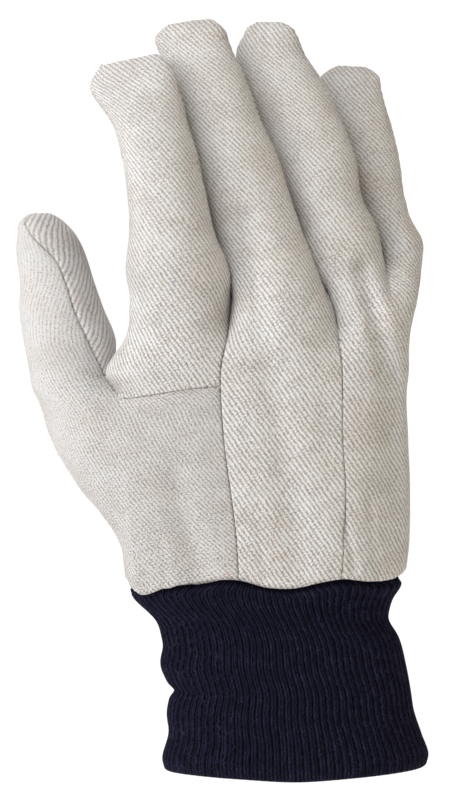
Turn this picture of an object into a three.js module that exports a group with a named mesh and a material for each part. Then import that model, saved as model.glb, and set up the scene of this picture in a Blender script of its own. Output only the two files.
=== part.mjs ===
// A cotton drill work glove with a knitted wrist, for the right hand, filled out as when it is worn.
// The cloth is cut as one palm piece and four back pieces, sewn edge to edge round the digits.
// x runs to the little finger's side, y from the back of the glove to the palm, z to the fingertips.
// The origin is the middle of the wrist opening. Sizes are in millimetres.
import * as THREE from 'three';

// Cloth and seams
const CLOTH = 1.4;
const KNIT = 2.4;
const SEAM_GAP = 0.3;
const MITRE_LIMIT = 0.55;

// Knitted wrist
const CUFF_LENGTH = 63;
const CUFF_WIDTH = 84;
const CUFF_DEPTH = 50;
const RIB_COUNT = 84;
const RIB_HEIGHT = 0.5;
const TUCK_GAP = 0.4;
const NEAR_SIDES = Math.PI / 8;

// Palm
const PALM_LENGTH = 97.5;
const PALM_WIDTH = 100;
const PALM_DEPTH = 44;
const PALM_SHIFT = -10;

// Digits: length from the root to the tip, width from seam to seam and thickness through the digit
const DIGIT_SIZES = {
  thumb: { length: 57, width: 25, thickness: 25 },
  index: { length: 84, width: 28, thickness: 25 },
  middle: { length: 98, width: 28, thickness: 25 },
  ring: { length: 83.5, width: 27, thickness: 24 },
  little: { length: 70.5, width: 23, thickness: 21 },
};

// Looks
const COTTON = { color: 0xdcd6ce, roughness: 0.95, metalness: 0 };
const NAVY_KNIT = { color: 0x16172a, roughness: 0.98, metalness: 0 };

// How many faces run across one digit, on its back and again on its palm side
const FACES_ACROSS = { thumb: 6, index: 6, middle: 7, ring: 8, little: 6 };

// Sections of the palm, from the wrist seam up.
// up: height as a share of the palm's length.
// thumb to outer: the six lines that part the digits' columns, as shares of the palm's width from its axis.
// back, palm: the two surfaces, as shares of the palm's depth.
// thumbAt, outerAt: where the seams along the two sides lie, as shares of the way from back to palm.
const PALM_SECTIONS = [
  {
    up: 0.0, thumb: -0.452, ridge: -0.428, seamA: -0.092, seamB: 0.255, split: 0.42, outer: 0.462,
    back: -0.5, palm: 0.5, thumbAt: 0.45, outerAt: 0.5,
  },
  {
    up: 0.157, thumb: -0.483, ridge: -0.45, seamA: -0.099, seamB: 0.262, split: 0.43, outer: 0.474,
    back: -0.5, palm: 0.53, thumbAt: 0.57, outerAt: 0.5,
  },
  {
    up: 0.331, thumb: -0.636, ridge: -0.462, seamA: -0.119, seamB: 0.269, split: 0.436, outer: 0.474,
    back: -0.48, palm: 0.56, thumbAt: 0.83, outerAt: 0.5,
  },
  {
    up: 0.505, thumb: -0.746, ridge: -0.47, seamA: -0.143, seamB: 0.259, split: 0.436, outer: 0.464,
    back: -0.455, palm: 0.56, thumbAt: 0.98, outerAt: 0.52,
  },
  {
    up: 0.655, thumb: -0.785, ridge: -0.496, seamA: -0.153, seamB: 0.259, split: 0.436, outer: 0.464,
    back: -0.43, palm: 0.52, thumbAt: 1.08, outerAt: 0.54,
  },
  {
    up: 0.735, thumb: -0.782, ridge: -0.543, seamA: -0.15, seamB: 0.259, split: 0.44, outer: 0.478,
    back: -0.42, palm: 0.49, thumbAt: 1.13, outerAt: 0.56,
  },
  {
    up: 0.871, ridge: -0.473, seamA: -0.129, seamB: 0.248, split: 0.436, outer: 0.486,
    back: -0.4, palm: 0.44, outerAt: 0.62,
  },
  {
    up: 1.0, ridge: -0.466, seamA: -0.116, seamB: 0.221, split: 0.428, outer: 0.512,
    back: -0.37, palm: 0.4, outerAt: 0.77,
  },
  { up: 1.14, seamB: 0.145, split: 0.405, outer: 0.52, back: -0.15, palm: 0.56, outerAt: 1.05 },
];

// The wrist edge of the cloth dips and rises. across: shares of the palm's width from its axis.
// rise: share of the palm's length above the wrist seam.
const WRIST_WAVE = [
  { across: -0.48, rise: 0.01 },
  { across: -0.43, rise: -0.035 },
  { across: -0.34, rise: -0.008 },
  { across: -0.22, rise: 0.024 },
  { across: -0.1, rise: 0.028 },
  { across: 0.01, rise: 0.002 },
  { across: 0.07, rise: 0.0 },
  { across: 0.19, rise: 0.021 },
  { across: 0.26, rise: 0.031 },
  { across: 0.36, rise: 0.021 },
  { across: 0.44, rise: 0.028 },
  { across: 0.48, rise: 0.045 },
];

// Soft valleys in the back of the glove, each along a straight line.
// fromAcross, toAcross: shares of the palm's width from its axis. fromUp, toUp: shares of its length.
// spread: half the valley's width, as a share of the palm's width.
// sink: its depth, as a share of the palm's depth.
const FOLDS = [
  { fromAcross: 0.328, fromUp: 1.1, toAcross: 0.425, toUp: 0.7, spread: 0.032, sink: 0.085 },
  { fromAcross: 0.425, fromUp: 0.68, toAcross: 0.44, toUp: 0.37, spread: 0.032, sink: 0.06 },
  { fromAcross: -0.307, fromUp: 0.37, toAcross: -0.222, toUp: 0.055, spread: 0.05, sink: 0.05 },
  { fromAcross: -0.07, fromUp: 1.275, toAcross: -0.012, toUp: 0.857, spread: 0.045, sink: 0.04 },
  { fromAcross: -0.012, fromUp: 0.857, toAcross: 0.118, toUp: 0.09, spread: 0.055, sink: 0.03 },
];

// Sections of the knitted wrist, from its opening up.
// up: share of the cuff's length.
// axis, set: where the middle lies across and from back to palm, as shares of the cuff's width and depth.
// wide, deep: shares of the width and depth. held: 1 inside the cloth, 0 free.
const CUFF_SECTIONS = [
  { up: 0.0, axis: 0.0, set: 0.0, wide: 1.03, deep: 0.97, held: 0 },
  { up: 0.05, axis: 0.0, set: 0.0, wide: 1.067, deep: 1.01, held: 0 },
  { up: 0.18, axis: -0.005, set: 0.0, wide: 1.019, deep: 0.97, held: 0 },
  { up: 0.32, axis: -0.02, set: 0.0, wide: 0.988, deep: 0.93, held: 0 },
  { up: 0.437, axis: -0.02, set: 0.0, wide: 0.955, deep: 0.89, held: 0 },
  { up: 0.57, axis: -0.046, set: 0.0, wide: 0.983, deep: 0.87, held: 0 },
  { up: 0.72, axis: -0.058, set: 0.0, wide: 0.952, deep: 0.84, held: 0 },
  { up: 0.81, axis: -0.083, set: 0.0, wide: 0.943, deep: 0.81, held: 0 },
  { up: 0.93, axis: -0.125, set: 0.0, wide: 1.05, deep: 0.9, held: 1 },
  { up: 1.12, axis: -0.125, set: 0.0, wide: 1.05, deep: 0.9, held: 1 },
];

// The row at which the seam across the root of the index finger parts its back from the thumb's.
const CROSS_SEAM_ROW = 4;

// The lines that part the columns. back, palm: how deep the line lies on each surface, as a share of the way
// from the glove's back to its palm. seam: the same, where the digits have parted and it is a side seam.
// crotch: the height, as a share of the palm's length, at which it parts.
// reach: how far below that height it is pulled in.
const LINES = {
  thumb: { outer: 'thumbAt' },
  ridge: { back: 0.17, palm: 1.0, seam: 0.55, crotch: 0.735, reach: 0.15 },
  seamA: { back: 0.03, palm: 0.96, seam: 0.48, crotch: 1.0, reach: 0.26 },
  seamB: { back: 0.05, palm: 0.94, seam: 0.53, crotch: 1.0, reach: 0.26 },
  split: { back: 0.26, palm: 0.8, seam: 0.66, crotch: 1.14, reach: 0.2 },
  outer: { outer: 'outerAt' },
};

// The columns: from the wrist up through the palm, and on into one digit.
// puffBack, puffPalm: how far a palm stretch bulges, as a share of its width.
// round: the same for a parted stretch.
const COLUMNS = [
  { digit: 'thumb', left: 'thumb', right: 'ridge', last: 5, puffBack: 0.16, puffPalm: 0.16, round: 0.4 },
  { digit: 'index', left: 'ridge', right: 'seamA', last: 7, puffBack: 0.05, puffPalm: 0.06, round: 0.44 },
  { digit: 'middle', left: 'seamA', right: 'seamB', last: 7, puffBack: 0.05, puffPalm: 0.03, round: 0.44 },
  { digit: 'ring', left: 'seamB', right: 'split', last: 8, puffBack: 0.07, puffPalm: 0.07, round: 0.44 },
  { digit: 'little', left: 'split', right: 'outer', last: 8, puffBack: 0.22, puffPalm: 0.3, round: 0.5 },
];

// Sections of the digits, from the root to the tip.
// up, lean, curl: where the middle of the section lies from the root's, as shares of the digit's length.
// wide, thick: shares of the digit's width and thickness.
// slope: how far the right edge stands above the left one, as a share of the width.
// roll: how far the section is turned about the digit, in degrees.
const DIGIT_SECTIONS = {
  thumb: [
    { up: 0.215, lean: -0.024, curl: 0.055, wide: 1.22, thick: 1.27, slope: 0, roll: 62 },
    { up: 0.397, lean: -0.072, curl: 0.09, wide: 1.1, thick: 1.16, slope: 0, roll: 68 },
    { up: 0.58, lean: -0.102, curl: 0.11, wide: 1.0, thick: 1.02, slope: 0, roll: 74 },
    { up: 0.726, lean: -0.138, curl: 0.13, wide: 0.95, thick: 0.96, slope: 0, roll: 86 },
    { up: 0.79, lean: -0.152, curl: 0.135, wide: 0.9, thick: 0.9, slope: 0, roll: 104 },
    { up: 0.86, lean: -0.169, curl: 0.145, wide: 0.82, thick: 0.78, slope: 0, roll: 122 },
    { up: 0.945, lean: -0.199, curl: 0.16, wide: 0.62, thick: 0.5, slope: 0, roll: 132 },
    { up: 1.0, lean: -0.205, curl: 0.165, wide: 0.3, thick: 0, slope: 0, roll: 134 },
  ],
  index: [
    { up: 0.12, lean: -0.01, curl: -0.048, wide: 1.27, thick: 1.2, slope: 0, roll: 8 },
    { up: 0.25, lean: -0.031, curl: -0.083, wide: 1.06, thick: 1.1, slope: 0, roll: 12 },
    { up: 0.42, lean: -0.054, curl: -0.095, wide: 0.94, thick: 1.0, slope: 0, roll: 12 },
    { up: 0.58, lean: -0.085, curl: -0.083, wide: 0.92, thick: 0.93, slope: 0, roll: 12 },
    { up: 0.71, lean: -0.122, curl: -0.054, wide: 0.93, thick: 0.85, slope: 0, roll: 12 },
    { up: 0.82, lean: -0.17, curl: -0.018, wide: 1.04, thick: 0.7, slope: 0.08, roll: 12 },
    { up: 0.9, lean: -0.2, curl: 0.012, wide: 1.02, thick: 0.48, slope: 0.2, roll: 12 },
    { up: 0.978, lean: -0.19, curl: 0.048, wide: 0.7, thick: 0, slope: 0.24, roll: 12 },
  ],
  middle: [
    { up: 0.1, lean: -0.028, curl: 0.015, wide: 1.12, thick: 1.1, slope: 0, roll: 8 },
    { up: 0.21, lean: -0.074, curl: 0.03, wide: 1.16, thick: 1.06, slope: 0, roll: 12 },
    { up: 0.355, lean: -0.121, curl: 0.046, wide: 1.11, thick: 1.0, slope: 0, roll: 12 },
    { up: 0.5, lean: -0.163, curl: 0.06, wide: 1.08, thick: 0.95, slope: 0, roll: 12 },
    { up: 0.64, lean: -0.21, curl: 0.08, wide: 1.0, thick: 0.88, slope: 0, roll: 12 },
    { up: 0.785, lean: -0.257, curl: 0.115, wide: 0.93, thick: 0.8, slope: 0, roll: 12 },
    { up: 0.875, lean: -0.3, curl: 0.138, wide: 0.92, thick: 0.66, slope: 0, roll: 12 },
    { up: 0.948, lean: -0.318, curl: 0.155, wide: 0.83, thick: 0.46, slope: 0.1, roll: 12 },
    { up: 0.987, lean: -0.316, curl: 0.165, wide: 0.58, thick: 0, slope: 0.13, roll: 12 },
  ],
  ring: [
    { up: 0.12, lean: -0.02, curl: 0.012, wide: 0.95, thick: 1.04, slope: 0, roll: 8 },
    { up: 0.25, lean: -0.078, curl: 0.027, wide: 0.95, thick: 1.0, slope: 0, roll: 12 },
    { up: 0.42, lean: -0.12, curl: 0.05, wide: 1.04, thick: 0.94, slope: 0, roll: 12 },
    { up: 0.585, lean: -0.177, curl: 0.075, wide: 1.03, thick: 0.88, slope: 0, roll: 12 },
    { up: 0.755, lean: -0.248, curl: 0.108, wide: 0.99, thick: 0.82, slope: 0, roll: 12 },
    { up: 0.86, lean: -0.296, curl: 0.138, wide: 0.84, thick: 0.66, slope: 0, roll: 12 },
    { up: 0.94, lean: -0.306, curl: 0.158, wide: 0.7, thick: 0.44, slope: 0, roll: 12 },
    { up: 1.0, lean: -0.306, curl: 0.17, wide: 0.32, thick: 0, slope: 0, roll: 12 },
  ],
  little: [
    { up: 0.1, lean: -0.002, curl: 0.065, wide: 0.74, thick: 0.92, slope: 0, roll: -32 },
    { up: 0.23, lean: -0.076, curl: 0.115, wide: 0.84, thick: 0.94, slope: 0, roll: -12 },
    { up: 0.38, lean: -0.116, curl: 0.16, wide: 0.9, thick: 0.95, slope: 0, roll: 2 },
    { up: 0.555, lean: -0.15, curl: 0.2, wide: 0.96, thick: 0.92, slope: 0, roll: 6 },
    { up: 0.73, lean: -0.2, curl: 0.24, wide: 1.02, thick: 0.84, slope: 0, roll: 8 },
    { up: 0.86, lean: -0.232, curl: 0.275, wide: 0.99, thick: 0.7, slope: 0, roll: 8 },
    { up: 0.95, lean: -0.23, curl: 0.3, wide: 0.84, thick: 0.45, slope: 0, roll: 8 },
    { up: 1.0, lean: -0.226, curl: 0.315, wide: 0.4, thick: 0, slope: 0, roll: 8 },
  ],
};

const mix = (a, b, t) => a + (b - a) * t;
const clamp01 = (t) => Math.min(1, Math.max(0, t));
const ease = (t) => t * t * (3 - 2 * t);
const point = (x, y, z) => new THREE.Vector3(x, y, z);

// How nearly a line has closed into a side seam at a height: 0 flat, 1 parted.
function closing(line, up) {
  if (line.outer) return 1;
  return ease(clamp01(1 - (line.crotch - up) / line.reach));
}

// One line at one palm section: its point on the glove's back and on its palm.
function lineAt(section, name) {
  const line = LINES[name];
  const closed = closing(line, section.up);
  const deep = (share) => mix(section.back, section.palm, share) * PALM_DEPTH;
  const seam = line.outer ? section[line.outer] : line.seam;
  const x = PALM_SHIFT + section[name] * PALM_WIDTH;
  const z = CUFF_LENGTH + section.up * PALM_LENGTH;
  return {
    back: point(x, deep(mix(line.back ?? seam, seam, closed)), z),
    palm: point(x, deep(mix(line.palm ?? seam, seam, closed)), z),
    closed,
    outer: Boolean(line.outer),
  };
}

// The stations of one column, from the wrist seam to the fingertip. Each holds both ends of its back
// stretch and of its palm stretch, how far they bulge, and how round they are.
function stationsOf(column) {
  const size = DIGIT_SIZES[column.digit];
  const stations = PALM_SECTIONS.slice(0, column.last + 1).map((section) => {
    const left = lineAt(section, column.left);
    const right = lineAt(section, column.right);
    const roundLeft = left.outer ? right.closed : left.closed;
    const roundRight = right.outer ? left.closed : right.closed;
    const round = (roundLeft + roundRight) / 2;
    const bulge = (a, b, puff) => a.distanceTo(b) * mix(puff, column.round, round);
    const stretch = (a, b, puff) => ({ left: a, right: b, bulge: bulge(a, b, puff) });
    return {
      back: stretch(left.back, right.back, column.puffBack),
      palm: stretch(left.palm, right.palm, column.puffPalm),
      roundLeft,
      roundRight,
      gapLeft: left.closed,
      gapRight: right.closed,
    };
  });
  const foot = stations[stations.length - 1].back;
  const root = foot.left.clone().add(foot.right).multiplyScalar(0.5);
  for (const row of DIGIT_SECTIONS[column.digit]) {
    const centre = root.clone().add(
      point(row.lean, row.curl, row.up).multiplyScalar(size.length),
    );
    const half = (row.wide * size.width) / 2;
    const roll = THREE.MathUtils.degToRad(row.roll);
    const side = point(Math.cos(roll), -Math.sin(roll), row.slope).multiplyScalar(half);
    const ends = { left: centre.clone().sub(side), right: centre.clone().add(side) };
    const bulge = (row.thick * size.thickness) / 2;
    stations.push({
      back: { ...ends, bulge },
      palm: { ...ends, bulge },
      roundLeft: 1,
      roundRight: 1,
      gapLeft: 1,
      gapRight: 1,
    });
  }
  return stations;
}

// A point of a stretch, at share v of the way from its left end to its right one.
function stretchPoint(station, surface, v) {
  const stretch = station[surface];
  const outward = surface === 'back' ? 1 : -1;
  const along = stretch.right.clone().sub(stretch.left);
  const normal = point(along.y, -along.x, 0).normalize().multiplyScalar(outward);
  const roundness = mix(station.roundLeft, station.roundRight, v);
  const share = mix(v, (1 - Math.cos(Math.PI * v)) / 2, roundness);
  const lift = stretch.bulge * Math.sin(Math.PI * v);
  const p = stretch.left.clone().addScaledVector(along, share).addScaledVector(normal, lift);
  const free = 1 - station.gapLeft * (1 - v) ** 6 - station.gapRight * v ** 6;
  if (surface === 'back') p.y += free * sinkAt(p);
  return p;
}

// A place seen from the front, from its shares of the palm's width and length.
function palmPlace(across, up) {
  return point(PALM_SHIFT + across * PALM_WIDTH, 0, CUFF_LENGTH + up * PALM_LENGTH);
}

// How deep the folds in the glove's back are at a point.
function sinkAt(p) {
  let sink = 0;
  for (const fold of FOLDS) {
    const from = palmPlace(fold.fromAcross, fold.fromUp);
    const to = palmPlace(fold.toAcross, fold.toUp);
    const line = to.clone().sub(from);
    const t = clamp01(point(p.x, 0, p.z).sub(from).dot(line) / line.lengthSq());
    const away = point(p.x, 0, p.z).distanceTo(from.addScaledVector(line, t));
    sink += fold.sink * PALM_DEPTH * Math.exp(-((away / (fold.spread * PALM_WIDTH)) ** 2));
  }
  return sink;
}

// How far the wrist edge of the cloth stands above the wrist seam's height at a place across the palm.
function waveAt(x) {
  const across = (x - PALM_SHIFT) / PALM_WIDTH;
  const next = WRIST_WAVE.findIndex((row) => row.across >= across);
  if (next === -1) return WRIST_WAVE[WRIST_WAVE.length - 1].rise * PALM_LENGTH;
  if (next === 0) return WRIST_WAVE[0].rise * PALM_LENGTH;
  const [a, b] = [WRIST_WAVE[next - 1], WRIST_WAVE[next]];
  return mix(a.rise, b.rise, (across - a.across) / (b.across - a.across)) * PALM_LENGTH;
}

// The whole cloth as one shell of four-sided faces. Points that fall together are one point.
const shell = { points: [], faces: [], known: new Map() };

function shellPoint(p) {
  const key = [p.x, p.y, p.z].map((c) => c.toFixed(3)).join();
  if (!shell.known.has(key)) {
    shell.known.set(key, shell.points.length);
    shell.points.push(p);
  }
  return shell.known.get(key);
}

// Splits a four-sided face of point numbers into triangles, and leaves out sides of no length.
function triangles(face) {
  const corners = face.filter((id, k) => id !== face[(k + 1) % face.length]);
  const found = [];
  for (let k = 1; k + 1 < corners.length; k++) found.push([corners[0], corners[k], corners[k + 1]]);
  return found;
}

// Lays one column's surface into the shell, with its faces turned outwards.
function laySurface(column, surface) {
  const stations = stationsOf(column);
  const across = FACES_ACROSS[column.digit];
  const rows = stations.map((station, i) =>
    Array.from({ length: across + 1 }, (_, j) => {
      const p = stretchPoint(station, surface, j / across);
      if (i === 0) p.z += waveAt(p.x);
      return shellPoint(p);
    }),
  );
  for (let i = 0; i + 1 < rows.length; i++) {
    for (let j = 0; j < across; j++) {
      const face = [rows[i][j], rows[i][j + 1], rows[i + 1][j + 1], rows[i + 1][j]];
      if (surface === 'palm') face.reverse();
      for (const corners of triangles(face)) {
        shell.faces.push({ corners, digit: column.digit, surface, row: i });
      }
    }
  }
}

for (const column of COLUMNS) {
  laySurface(column, 'back');
  laySurface(column, 'palm');
}

function faceNormal([a, b, c]) {
  const ab = shell.points[b].clone().sub(shell.points[a]);
  return ab.cross(shell.points[c].clone().sub(shell.points[a]));
}

// For every point of the shell, the way in to the cloth's inner face, mitred where faces meet at an angle.
function inwardSteps() {
  const steps = shell.points.map(() => point(0, 0, 0));
  for (const { corners } of shell.faces) {
    const normal = faceNormal(corners);
    for (const id of corners) steps[id].sub(normal);
  }
  steps.forEach((step) => step.normalize());
  const facing = shell.points.map(() => ({ total: 0, count: 0 }));
  for (const { corners } of shell.faces) {
    const normal = faceNormal(corners).normalize();
    for (const id of corners) {
      facing[id].total -= normal.dot(steps[id]);
      facing[id].count += 1;
    }
  }
  steps.forEach((step, id) => {
    const mitre = Math.max(MITRE_LIMIT, facing[id].total / facing[id].count);
    step.multiplyScalar(CLOTH / mitre);
  });
  return steps;
}

const INWARD = inwardSteps();

// One piece of cloth: the shell's faces that belong to it, given a thickness and drawn back from its seams.
function clothPiece(name, belongs) {
  const faces = shell.faces.filter(belongs);
  const sides = new Map();
  for (const { corners } of faces) {
    const normal = faceNormal(corners).normalize();
    corners.forEach((p, k) => {
      const q = corners[(k + 1) % 3];
      sides.set(p + '>' + q, { p, q, normal });
    });
  }
  const edges = [...sides.values()].filter(({ p, q }) => !sides.has(q + '>' + p));
  const drawn = new Map();
  for (const { p, q, normal } of edges) {
    const along = shell.points[q].clone().sub(shell.points[p]);
    for (const id of [p, q]) {
      const back = along.clone().cross(INWARD[id]).normalize();
      if (back.dot(normal.clone().cross(along)) < 0) back.negate();
      drawn.set(id, (drawn.get(id) ?? point(0, 0, 0)).add(back));
    }
  }
  const number = new Map();
  const outer = [];
  const inner = [];
  for (const id of new Set(faces.flatMap(({ corners }) => corners))) {
    number.set(id, outer.length);
    const p = shell.points[id].clone();
    if (drawn.has(id)) p.addScaledVector(drawn.get(id).normalize(), SEAM_GAP / 2);
    outer.push(p);
    inner.push(p.clone().add(INWARD[id]));
  }
  const count = outer.length;
  const index = [];
  for (const { corners } of faces) {
    const [a, b, c] = corners.map((id) => number.get(id));
    index.push(a, b, c, count + c, count + b, count + a);
  }
  for (const edge of edges) {
    const [p, q] = [number.get(edge.p), number.get(edge.q)];
    if (edge.p < edge.q) index.push(q, p, count + p, q, count + p, count + q);
    else index.push(q, p, count + q, p, count + p, count + q);
  }
  return solid(name, [...outer, ...inner], index, COTTON);
}

function solid(name, points, index, looks) {
  const places = points.flatMap((p) => p.toArray());
  const geometry = new THREE.BufferGeometry();
  geometry.setAttribute('position', new THREE.Float32BufferAttribute(places, 3));
  geometry.setIndex(index);
  geometry.computeVertexNormals();
  const mesh = new THREE.Mesh(geometry, new THREE.MeshStandardMaterial(looks));
  mesh.name = name;
  return mesh;
}

// The closed outline of the cloth round the wrist edge, and round the section above it.
function clothOutline(row) {
  const ends = [];
  for (const surface of ['back', 'palm']) {
    const side = [];
    for (const column of COLUMNS) {
      const station = stationsOf(column)[row];
      const across = FACES_ACROSS[column.digit];
      for (let j = 0; j < across; j++) side.push(stretchPoint(station, surface, j / across));
      if (column === COLUMNS[COLUMNS.length - 1]) side.push(stretchPoint(station, surface, 1));
    }
    ends.push(surface === 'back' ? side : side.reverse());
  }
  return ends.flat();
}

// How far it is from a point, in a direction, to the lines a set distance inside an outline's nearest sides.
function reachInside(outline, from, way, inset) {
  let reach = Infinity;
  outline.forEach((p, k) => {
    const q = outline[(k + 1) % outline.length];
    const normal = point(q.y - p.y, p.x - q.x, 0).normalize();
    const centre = point((p.x + q.x) / 2 - from.x, (p.y + q.y) / 2 - from.y, 0);
    if (centre.angleTo(way) > NEAR_SIDES) return;
    const clear = centre.dot(normal);
    if (clear < 0) normal.negate();
    const facing = normal.dot(way);
    if (facing > 0.05) reach = Math.min(reach, (Math.abs(clear) - inset) / facing);
  });
  return reach;
}

// The directions of the ribs' crests and of the hollows between them, evenly spaced round the wrist.
function ribWays() {
  const count = RIB_COUNT * 2;
  const [a, b] = [CUFF_WIDTH / 2, CUFF_DEPTH / 2];
  const steps = count * 16;
  const lengths = [0];
  for (let k = 1; k <= steps; k++) {
    const angle = ((k - 0.5) / steps) * 2 * Math.PI;
    lengths.push(lengths[k - 1] + Math.hypot(a * Math.sin(angle), b * Math.cos(angle)));
  }
  return Array.from({ length: count }, (_, k) => {
    const at = (k / count) * lengths[steps];
    const step = lengths.findIndex((length) => length >= at);
    const angle = (step / steps) * 2 * Math.PI;
    return point(a * Math.cos(angle), b * Math.sin(angle), 0).normalize();
  });
}

// The knitted wrist. Its upper rows follow the inside of the cloth, its lower rows the sections' own ovals.
function knitCuff() {
  const ways = ribWays();
  const wrist = clothOutline(0);
  const above = clothOutline(1);
  const inset = CLOTH + TUCK_GAP + RIB_HEIGHT / 2;
  const rings = CUFF_SECTIONS.map((section) => {
    const z = section.up * CUFF_LENGTH;
    const middle = point(section.axis * CUFF_WIDTH, section.set * CUFF_DEPTH, z);
    const oval = [(section.wide * CUFF_WIDTH) / 2, (section.deep * CUFF_DEPTH) / 2];
    return ways.map((way, k) => {
      const free = 1 / Math.hypot(way.x / oval[0], way.y / oval[1]);
      const held = Math.min(
        reachInside(wrist, middle, way, inset),
        reachInside(above, middle, way, inset),
      );
      const reach = section.held ? Math.min(free, held) : free;
      const rib = ((k % 2 === 0 ? 1 : -1) * RIB_HEIGHT) / 2;
      return {
        outer: middle.clone().addScaledVector(way, reach + rib),
        inner: middle.clone().addScaledVector(way, reach - KNIT),
      };
    });
  });
  const count = ways.length;
  const points = [];
  for (const ring of rings) {
    points.push(...ring.map(({ outer }) => outer));
    points.push(...ring.map(({ inner }) => inner));
  }
  const index = [];
  const quad = (a, b, c, d) => index.push(a, b, c, a, c, d);
  const last = (rings.length - 1) * 2 * count;
  for (let k = 0; k < count; k++) {
    const next = (k + 1) % count;
    for (let i = 0; i + 1 < rings.length; i++) {
      const low = i * 2 * count;
      const high = low + 2 * count;
      quad(low + k, low + next, high + next, high + k);
      quad(low + count + next, low + count + k, high + count + k, high + count + next);
    }
    quad(count + k, count + next, next, k);
    quad(last + k, last + next, last + count + next, last + count + k);
  }
  return solid('knit_cuff', points, index, NAVY_KNIT);
}

const onBack = (face, digit) => face.surface === 'back' && face.digit === digit;
const belowCrossSeam = (face) => onBack(face, 'index') && face.row < CROSS_SEAM_ROW;
const aboveCrossSeam = (face) => onBack(face, 'index') && face.row >= CROSS_SEAM_ROW;

const glove = new THREE.Group();
glove.add(
  clothPiece('palm_panel', (face) => face.surface === 'palm'),
  clothPiece('thumb_back', (face) => onBack(face, 'thumb') || belowCrossSeam(face)),
  clothPiece('index_back', aboveCrossSeam),
  clothPiece('middle_back', (face) => onBack(face, 'middle')),
  clothPiece('outer_back', (face) => onBack(face, 'ring') || onBack(face, 'little')),
  knitCuff(),
);
export default glove;
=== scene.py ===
"""A cotton drill work glove with a navy knitted wrist, filled out as when it is worn.

The cloth panels and the knitted wrist are built again, finer, from the sections of the solid model.
Lengths are in metres, in the frame of the solid model: x to the little finger's side, y from the
back of the glove to the palm, z to the fingertips.
"""
import math
from functools import reduce

import bpy
import numpy as np
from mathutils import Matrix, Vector, kdtree


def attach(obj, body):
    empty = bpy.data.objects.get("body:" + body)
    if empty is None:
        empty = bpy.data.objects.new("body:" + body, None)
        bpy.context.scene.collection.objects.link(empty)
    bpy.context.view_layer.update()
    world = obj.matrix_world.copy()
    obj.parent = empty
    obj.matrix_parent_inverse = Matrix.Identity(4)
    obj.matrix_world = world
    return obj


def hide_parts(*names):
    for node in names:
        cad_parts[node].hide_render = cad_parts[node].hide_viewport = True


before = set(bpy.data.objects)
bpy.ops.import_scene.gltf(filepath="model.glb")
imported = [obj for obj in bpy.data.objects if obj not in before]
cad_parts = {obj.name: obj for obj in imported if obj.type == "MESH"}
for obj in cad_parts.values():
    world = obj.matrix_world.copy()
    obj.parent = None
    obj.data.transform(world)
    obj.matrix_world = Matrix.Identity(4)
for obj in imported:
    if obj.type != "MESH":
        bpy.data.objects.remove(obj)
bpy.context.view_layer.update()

MM = 0.001

# Cloth, knit and seams
CLOTH = 1.4 * MM
KNIT = 2.4 * MM
SEAM_GAP = 0.14 * MM
MITRE_LIMIT = 0.55

# Knitted wrist
CUFF_LENGTH = 63 * MM
CUFF_WIDTH = 84 * MM
CUFF_DEPTH = 50 * MM
RIB_COUNT = 84
RIB_HEIGHT = 0.85 * MM
TUCK_GAP = 0.4 * MM

# Palm
PALM_LENGTH = 97.5 * MM
PALM_WIDTH = 100 * MM
PALM_DEPTH = 44 * MM
PALM_SHIFT = -10 * MM

# Fineness of the meshes
CLOTH_STEP = 1.0 * MM
SEAM_FINER, DIGIT_FINER = 1.2, 1.05
FACES_ACROSS = 44
EDGE_CROWDING = 0.6
WELD_CELLS = 1e6
FACES_PER_RIB = 10
CUFF_STEP = 0.9 * MM


def table(names, rows):
    """A table with named columns, each an array. A place with no value is NaN."""
    cells = np.array([[np.nan if cell is None else cell for cell in row] for row in rows], float)
    return dict(zip(names.split(), cells.T))


def rows_of(named):
    """A table's rows, each with its cells by name."""
    return [dict(zip(named, row)) for row in zip(*named.values())]


# Length from the root to the tip, width from seam to seam, thickness through the digit.
DIGIT_SIZES = {
    "thumb": (57 * MM, 25 * MM, 25 * MM),
    "index": (84 * MM, 28 * MM, 25 * MM),
    "middle": (98 * MM, 28 * MM, 25 * MM),
    "ring": (83.5 * MM, 27 * MM, 24 * MM),
    "little": (70.5 * MM, 23 * MM, 21 * MM),
}

# Sections of the palm, from the wrist seam up, as shares of the palm's length, width and depth.
PALM_SECTIONS = table("up thumb ridge seamA seamB split outer back palm thumbAt outerAt", [
    (0.0, -0.452, -0.428, -0.092, 0.255, 0.42, 0.462, -0.5, 0.5, 0.45, 0.5),
    (0.157, -0.483, -0.45, -0.099, 0.262, 0.43, 0.474, -0.5, 0.53, 0.57, 0.5),
    (0.331, -0.636, -0.462, -0.119, 0.269, 0.436, 0.474, -0.48, 0.56, 0.83, 0.5),
    (0.505, -0.746, -0.47, -0.143, 0.259, 0.436, 0.464, -0.455, 0.56, 0.98, 0.52),
    (0.655, -0.785, -0.496, -0.153, 0.259, 0.436, 0.464, -0.43, 0.52, 1.08, 0.54),
    (0.735, -0.782, -0.543, -0.15, 0.259, 0.44, 0.478, -0.42, 0.49, 1.13, 0.56),
    (0.871, None, -0.473, -0.129, 0.248, 0.436, 0.486, -0.4, 0.44, None, 0.62),
    (1.0, None, -0.466, -0.116, 0.221, 0.428, 0.512, -0.37, 0.4, None, 0.77),
    (1.14, None, None, None, 0.12, 0.405, 0.52, -0.15, 0.56, None, 1.05),
])
CROSS_SEAM_ROW = 4

# The palm's rows where the thumb, the index and middle fingers, and the two outer fingers begin
THUMB_ROW, FINGER_ROW, OUTER_ROW = 5, 7, 8

# The wrist edge of the cloth: rise above the wrist seam's height, at places across the palm.
WRIST_WAVE = table("across rise", [
    (-0.48, 0.014), (-0.44, -0.02), (-0.34, 0.0), (-0.22, 0.024), (-0.1, 0.028), (0.01, 0.002),
    (0.07, 0.0), (0.19, 0.021), (0.26, 0.031), (0.36, 0.021), (0.44, 0.028), (0.48, 0.045),
])

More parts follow.
